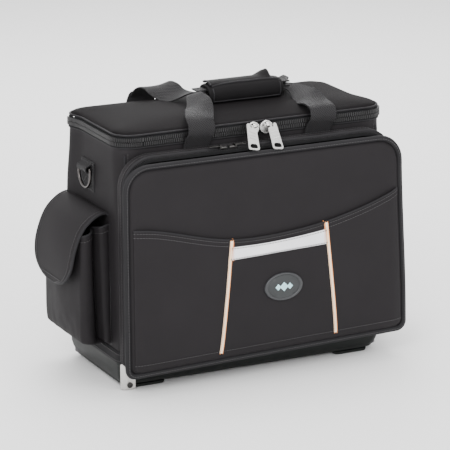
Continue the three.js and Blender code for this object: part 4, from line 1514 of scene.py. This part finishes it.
def grip():
    """A padded wrap: an oval sleeve, piped, under a closing flap with one corner turned up."""
    lowest, highest = low("grip_wrap"), high("grip_wrap")
    middle = (lowest + highest) / 2
    half_y = (highest.y - lowest.y) / 2 + 2
    half_z = (highest.z - lowest.z) / 2 + 1
    middle.z -= 2.5
    rows = []
    steps = 30
    for i in range(steps + 1):
        t = i / steps
        x = mix(lowest.x, highest.x, t)
        full = 1 - 0.16 * abs(2 * t - 1) ** 6
        sag = 1.6 * math.sin(math.pi * t) - 1.0
        ring = []
        for k in range(40):
            a = 2 * math.pi * k / 40
            c = math.copysign(abs(math.cos(a)) ** GRIP_ROUNDNESS, math.cos(a))
            s = math.copysign(abs(math.sin(a)) ** GRIP_ROUNDNESS, math.sin(a))
            p = Vector((x, middle.y + half_y * full * c, middle.z + sag + (half_z - 1.2) * full * s))
            ring.append(p + Vector((0, 0.8 * ripple(p, 22, 12), 0.8 * ripple(p, 22, 13))))
        rows.append(ring)
    shape = Shape().grid(rows, around=True)
    for end, inwards in ((rows[0], 3), (rows[-1], -3)):
        moved = [p + Vector((inwards, 0, 0)) for p in end]
        tucked = [q.lerp(Vector((q.x, middle.y, middle.z)), 0.35) for q in moved]
        shape.cap(tucked).grid([end, tucked], around=True)
    wrap = new_object(shape, "grip_pad", 60)
    rounder(wrap)
    dress(wrap, PADDING, "rear_handle", ["grip_wrap"])

    piping = Shape()
    along = [mix(lowest.x + 7, highest.x - 7, i / 20) for i in range(21)]
    front = [Vector((x, middle.y - half_y * 0.55, highest.z - 3.2)) for x in along]
    over = surface_of(wrap)
    top_edge, normals = lay(front, over, -UP, 0.4)
    piping.tube(top_edge, 1.5, normals, sides=8)
    lower, normals = lay([Vector((p.x, -60, middle.z - 9)) for p in front], over, (0, 1, 0), 0.2)
    piping.tube(lower, 1.1, normals, sides=8)
    for i in (0, -1):
        arc = []
        for k in range(9):
            arc.append(Vector((front[i].x, -60, mix(middle.z - 9, highest.z - 9, k / 8))))
        points, normals = lay(arc, over, (0, 1, 0), 0.2)
        piping.tube(points, 1.1, normals, sides=6)
    make(piping, "grip_piping", BINDING, "rear_handle")

    def spot(s, t):
        x = mix(lowest.x + 5, highest.x - 18, s)
        a = mix(math.radians(128), math.radians(52), t)
        lift = 0.6 + 7.0 * smooth((s - 0.78) / 0.22) * smooth((t - 0.2) / 0.5)
        return Vector((x, middle.y + (half_y - 1) * math.cos(a), middle.z + half_z * math.sin(a) + lift))

    rows = sheet_rows(30, 8, spot)
    closing = soft_sheet(new_object(Shape().grid(rows), "grip_closing_flap", 60), 1.8)
    dress(closing, PADDING, "rear_handle")
    rim = [r[0] for r in rows] + rows[-1] + [r[-1] for r in reversed(rows)]
    edge = Shape().tube(spaced(rim, 4), 1.4, UP, False, 8)
    make(edge, "grip_flap_binding", BINDING, "rear_handle")


# ---------------------------------------------------------------- zip sliders


PULL_LEAN = 0.89
PULL_SLANT = {"left": -0.26, "right": -0.145}
PULL_PIVOT_Y = -77.45
PULL_PIVOT_Z = 357.5


def flat_pull(shape, outline, hole, thickness, place_point):
    """A plate with a window: outline and hole are rings of the same count in the plate's plane."""
    front = thickness / 2
    narrower = [(x * 0.97, z) for x, z in outline]
    layers = [narrower, outline, outline, narrower, hole, hole]
    depths = [front, front * 0.6, -front * 0.6, -front, -front, front]
    rows = [[place_point(x, d, z) for x, z in ring] for ring, d in zip(layers, depths)]
    shape.grid(rows, around=True, along=True)


def even_ring(points, count):
    ring = spaced([Vector((x, z, 0)) for x, z in points], count=count, closed=True)
    return [(p.x, p.y) for p in ring]


def lid_slider(side):
    name = f"lid_slider_{side}"
    lowest, highest = low(name), high(name)
    x = (lowest.x + highest.x) / 2
    z = low(name).z + 9.4
    face = LID_FRONT - 0.4
    shape = Shape()
    shape.block((x - 6, face - 5.0, z - 7), (x + 6, face, z + 7), 1.4)
    profile = [(9.3, -1.2), (9.6, -0.4), (9.5, 0.3), (8.8, 0.8), (7.6, 0.9), (7.2, 0.6), (0.5, 0.6)]
    shape.lathe(profile, (x, face - 5.6, z), FORWARD, 36)
    pivot = Vector((x, PULL_PIVOT_Y, PULL_PIVOT_Z))
    for cheek in (x - 5.2, x + 5.2):
        shape.block((cheek - 0.8, pivot.y - 2.6, pivot.z - 2.3), (cheek + 0.8, face - 4, pivot.z + 2.3), 0.6)
    shape.tube([pivot + Vector((d, 0, 0)) for d in (-5.6, 0, 5.6)], 1.2, UP, False, 10)
    make(shape, f"{name}_body", NICKEL, name, [name])

    way = -1 if side == "left" else 1
    slant = PULL_SLANT[side]
    turn = Matrix.Rotation(-PULL_LEAN, 3, "X")
    skew = Matrix.Rotation(-slant, 3, "Y")
    eye = Vector((0, 0, 3.0))

    def put(px, depth, pz):
        flat = skew @ (Vector((px * way, 0, pz)) + eye) - eye
        return pivot + turn @ Vector((flat.x, depth, flat.z))

    outline = [
        (2.4, 0.5), (2.4, -4.6), (-1.2, -6.6), (-2.2, -40), (-1.4, -42.2), (0.8, -43),
        (10.8, -43), (13.0, -42.2), (13.8, -40), (12.8, -4), (12.6, 0.8), (11.4, 2.6),
        (9.2, 2.6), (7.8, 0.8), (7.4, -3.4), (6.0, -4.8),
    ]
    ring = even_ring(outline, 96)
    window = even_ring(rounded(0.6, -40.4, 11, -32.8, 1.4, 3.4, arc=5, flat=(5, 3)), 96)
    pull = Shape()
    flat_pull(pull, ring, matched(window, ring, (6, -42)), 1.9, put)
    for k in range(3):
        drop = 5.4 * k
        groove = [put(px, -1.05, pz - drop) for px, pz in ((0.6, -15), (5.5, -13), (11, -11.6))]
        pull.tube(groove, 0.5, FORWARD, False, 6)
    eye_profile = [(1.75, -2.6), (3.0, -2.6), (3.2, -2.0), (3.2, 2.0), (3.0, 2.6), (1.75, 2.6)]
    pull.lathe(eye_profile, pivot, (1, 0, 0), 20)
    node = f"lid_pull_{side}"
    make(pull, f"{node}_plate", NICKEL, node, [node])


def matched(hole, ring, mark):
    """Turns a window's points so that they run beside the outline's, from the point nearest the mark."""
    if ring_turns(ring) != ring_turns(hole):
        hole = hole[::-1]
    mark = Vector(mark)
    count = len(ring)
    at_hole = min(range(count), key=lambda i: (Vector(hole[i]) - mark).length)
    at_ring = min(range(count), key=lambda i: (Vector(ring[i]) - mark).length)
    return [hole[(i + at_hole - at_ring) % count] for i in range(count)]


def ring_turns(ring):
    return sum(a[0] * b[1] - b[0] * a[1] for a, b in zip(ring, ring[1:] + ring[:1])) > 0


def front_slider(side):
    name = f"front_slider_{side}"
    lowest, highest = low(name), high(name)
    middle = (lowest + highest) / 2
    way = -1 if side == "left" else 1
    shape = Shape()
    shape.block(lowest, (highest.x, highest.y, lowest.z + 2.4), 0.9)
    x = middle.x + way * 4
    for s in (-1, 1):
        y = middle.y + s * 4.1
        shape.block((x - 1.2, y - 0.5, lowest.z + 1.6), (x + 1.2, y + 0.5, highest.z), 0.35)
    shape.tube([Vector((x, middle.y + d, highest.z - 0.7)) for d in (-4.2, 0, 4.2)], 0.5, UP, False, 8)
    make(shape, f"{name}_body", DARK_NICKEL, name, [name])
    node = f"front_pull_{side}"
    pull_low, pull_high = low(node), high(node)
    pull = Shape()
    length = pull_high.x - pull_low.x - 1.3
    half = [(3.2, 0.6), (3.4, 6), (2.4, length - 7), (3.3, length - 2.5), (2.2, length)]
    ring = even_ring(half + [(-a, b) for a, b in reversed(half)], 48)
    hole = even_ring(rounded(-1.7, length - 5, 1.7, length - 2, 1.2, arc=4, flat=(3, 2)), 48)
    hole = matched(hole, ring, (0, length))
    pivot = Vector((x, middle.y, pull_low.z + 1.3))
    flat_pull(pull, ring, hole, 1.1, lambda a, d, b: pivot + Vector((way * b, a, d)))
    pull.lathe([(0.7, -3.2), (1.3, -3.2), (1.3, 3.2), (0.7, 3.2)], pivot, (0, 1, 0), 14)
    make(pull, f"{node}_plate", DARK_NICKEL, node, [node])


# ---------------------------------------------------------------- back and inside


def rear_pocket():
    lowest, highest = low("rear_pocket"), high("rear_pocket")

    def spot(s, t):
        x = mix(lowest.x, highest.x, s)
        z = mix(lowest.z, highest.z, t)
        edge = min(1, min(s, 1 - s) * 16) * min(1, t * 12)
        belly = 6.5 + 4.5 * math.sin(math.pi * s) * math.sin(math.pi * min(1, t * 0.9 + 0.05))
        off = 1.0 + belly * smooth(edge) + 0.8 * ripple((x, 0, z), 55, 21) * edge
        dip = 7 * (1 - (2 * s - 1) ** 2) * t
        return Vector((x, REAR + off, z - dip))

    rows = sheet_rows(60, 36, spot)
    pocket = soft_sheet(new_object(Shape().grid(rows), "rear_pocket_cloth", 70), 1.8)
    dress(pocket, NYLON, "root", ["rear_pocket"])
    edge = Shape().tube(rows[-1], 2.0, UP, False, 8)
    make(edge, "rear_pocket_binding", BINDING, "root")
    thread = Shape()
    under = [p - UP * 8 + Vector((0, 40, 0)) for p in rows[-1][1:-1]]
    sewn(thread, under, surface_of(pocket), FORWARD)
    make(thread, "rear_pocket_stitching", THREAD, "root")


def divider():
    lowest, highest = low("divider_board"), high("divider_board")
    rows = []
    for y, inset in ((lowest.y, 1.5), (lowest.y + 1, 0), (highest.y - 1, 0), (highest.y, 1.5)):
        outline = rounded(lowest.x + inset, lowest.z + inset, highest.x - inset, highest.z - inset, 4, 20)
        rows.append([Vector((x, y, z)) for x, z in outline])
    board = Shape().grid(rows, around=True).cap(rows[0]).cap(rows[-1])
    make(board, "divider_panel", LINING, "root", ["divider_board"])
    outline = rounded(lowest.x, lowest.z, highest.x, highest.z, 4, 20)
    rim = [Vector((x, (lowest.y + highest.y) / 2, z)) for x, z in outline]
    edge = Shape().tube(rim, 3.6, FORWARD, True, 8)
    make(edge, "divider_binding", BINDING, "root")


# one tool loop: share of its width, then how far it stands out
LOOP_RISE = ((0.07, 0.04), (0.2, 0.6), (0.35, 0.93), (0.5, 1), (0.65, 0.93), (0.8, 0.6), (0.93, 0.04))


def tool_loops():
    lowest = low("divider_board")
    band_low, band_high = low("divider_loops"), high("divider_loops")
    knots = [(band_low.x, 0)]
    bays = 4
    pitch = (band_high.x - band_low.x) / bays
    depth = band_high.y - band_low.y - 1.6
    for i in range(bays):
        for share, rise in LOOP_RISE:
            knots.append((band_low.x + (i + share) * pitch, rise))
    knots.append((band_high.x, 0))
    line = spline([Vector((x, lowest.y - 1 - r * depth, 0)) for x, r in knots], 110)
    levels = (band_low.z, mix(band_low.z, band_high.z, 0.5), band_high.z)
    rows = [[Vector((p.x, p.y, z)) for p in line] for z in levels]
    band = thicken(new_object(Shape().grid(rows), "divider_elastic", 70), 1.6)
    dress(band, WEBBING, "root", ["divider_loops"])
    thread = Shape()
    for i in range(bays + 1):
        x = min(band_high.x - 2, max(band_low.x + 2, band_low.x + i * pitch))
        stitches(thread, [Vector((x, lowest.y - 2.2, z)) for z in range(192, 224, 4)], FORWARD)
    make(thread, "divider_stitching", THREAD, "root")


def body_lining():
    dress_node("base_board", BOARD)
    rows = []
    for z in (9, 60, 120, 200, 280, TOP - 1):
        middle = Vector((0, 20, z))
        rows.append([p + (middle - p).normalized() * 5.4 for p in body_ring(z, 0)])
    skin = thicken(new_object(Shape().grid(rows, around=True), "body_lining", 70), 0.8)
    dress(skin, LINING, "root")


def dress_node(node, finish):
    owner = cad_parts[node]
    owner.data.materials.clear()
    owner.data.materials.append(finish)


# ---------------------------------------------------------------- studio


def studio():
    ground = Shape()
    far = 6000
    ground.grid([[Vector((x, y, 0)) for x in (-far, far)] for y in (-far, far)])
    floor = new_object(ground, "studio_floor")
    paper = Finish("studio paper", (0.86, 0.86, 0.86), 0.9)
    floor.data.materials.append(paper.material)
    world = bpy.data.worlds.new("studio")
    world.use_nodes = True
    backdrop = world.node_tree.nodes["Background"]
    backdrop.inputs["Color"].default_value = (1, 1, 1, 1)
    backdrop.inputs["Strength"].default_value = 1.6
    bpy.context.scene.world = world
    softboxes = {
        "key": ((-1.5, -1.8, 1.7), 1.1, 52),
        "front": ((0.7, -2.6, 1.3), 1.4, 30),
        "top": ((0.1, 0.3, 2.4), 1.4, 36),
        "rear": ((0.8, 1.8, 1.5), 1.2, 30),
    }
    for name, (spot, size, power) in softboxes.items():
        lamp = bpy.data.lights.new(name, "AREA")
        lamp.size = size
        lamp.energy = power
        holder = bpy.data.objects.new(name, lamp)
        holder.location = spot
        aim = Vector((0, 0.03, 0.19)) - Vector(spot)
        holder.rotation_euler = aim.to_track_quat("-Z", "Y").to_euler()
        bpy.context.scene.collection.objects.link(holder)


def camera():
    azimuth = math.radians(-25.61)
    elevation = math.radians(15.96)
    roll = math.radians(-0.32)
    distance = 4.082
    target = Vector((0.0071, 0.0340, 0.1860))
    flat = math.cos(elevation)
    away = Vector((math.sin(azimuth) * flat, -math.cos(azimuth) * flat, math.sin(elevation)))
    lens = bpy.data.cameras.new("camera")
    lens.sensor_width = 36
    lens.lens = 228.0
    lens.clip_end = 100
    holder = bpy.data.objects.new("camera", lens)
    holder.location = target + away * distance
    turn = (-away).to_track_quat("-Z", "Y") @ Matrix.Rotation(roll, 3, "Z").to_quaternion()
    holder.rotation_mode = "QUATERNION"
    holder.rotation_quaternion = turn
    bpy.context.scene.collection.objects.link(holder)
    bpy.context.scene.camera = holder


# ---------------------------------------------------------------- the bag

camera()
studio()
base_tray()
corner_guard()
wall_seams(body_shell())
lid_cushion()
lid_lining()
lid_zip()
lid_hinge()
gusset()
front_zip()
pad = panel_pad()
panel_welt()
layer = front_pocket(pad)
pocket_details(layer, pad)
badge(layer, pad)
organiser()
for name, side in SIDES:
    end_pocket(name, side)
    end_flap(name, side)
    touch_tape(name, side)
    ring_and_tab(name, side)
front_straps()
rear_straps()
grip()
for name, _ in SIDES:
    lid_slider(name)
    front_slider(name)
rear_pocket()
divider()
tool_loops()
body_lining()
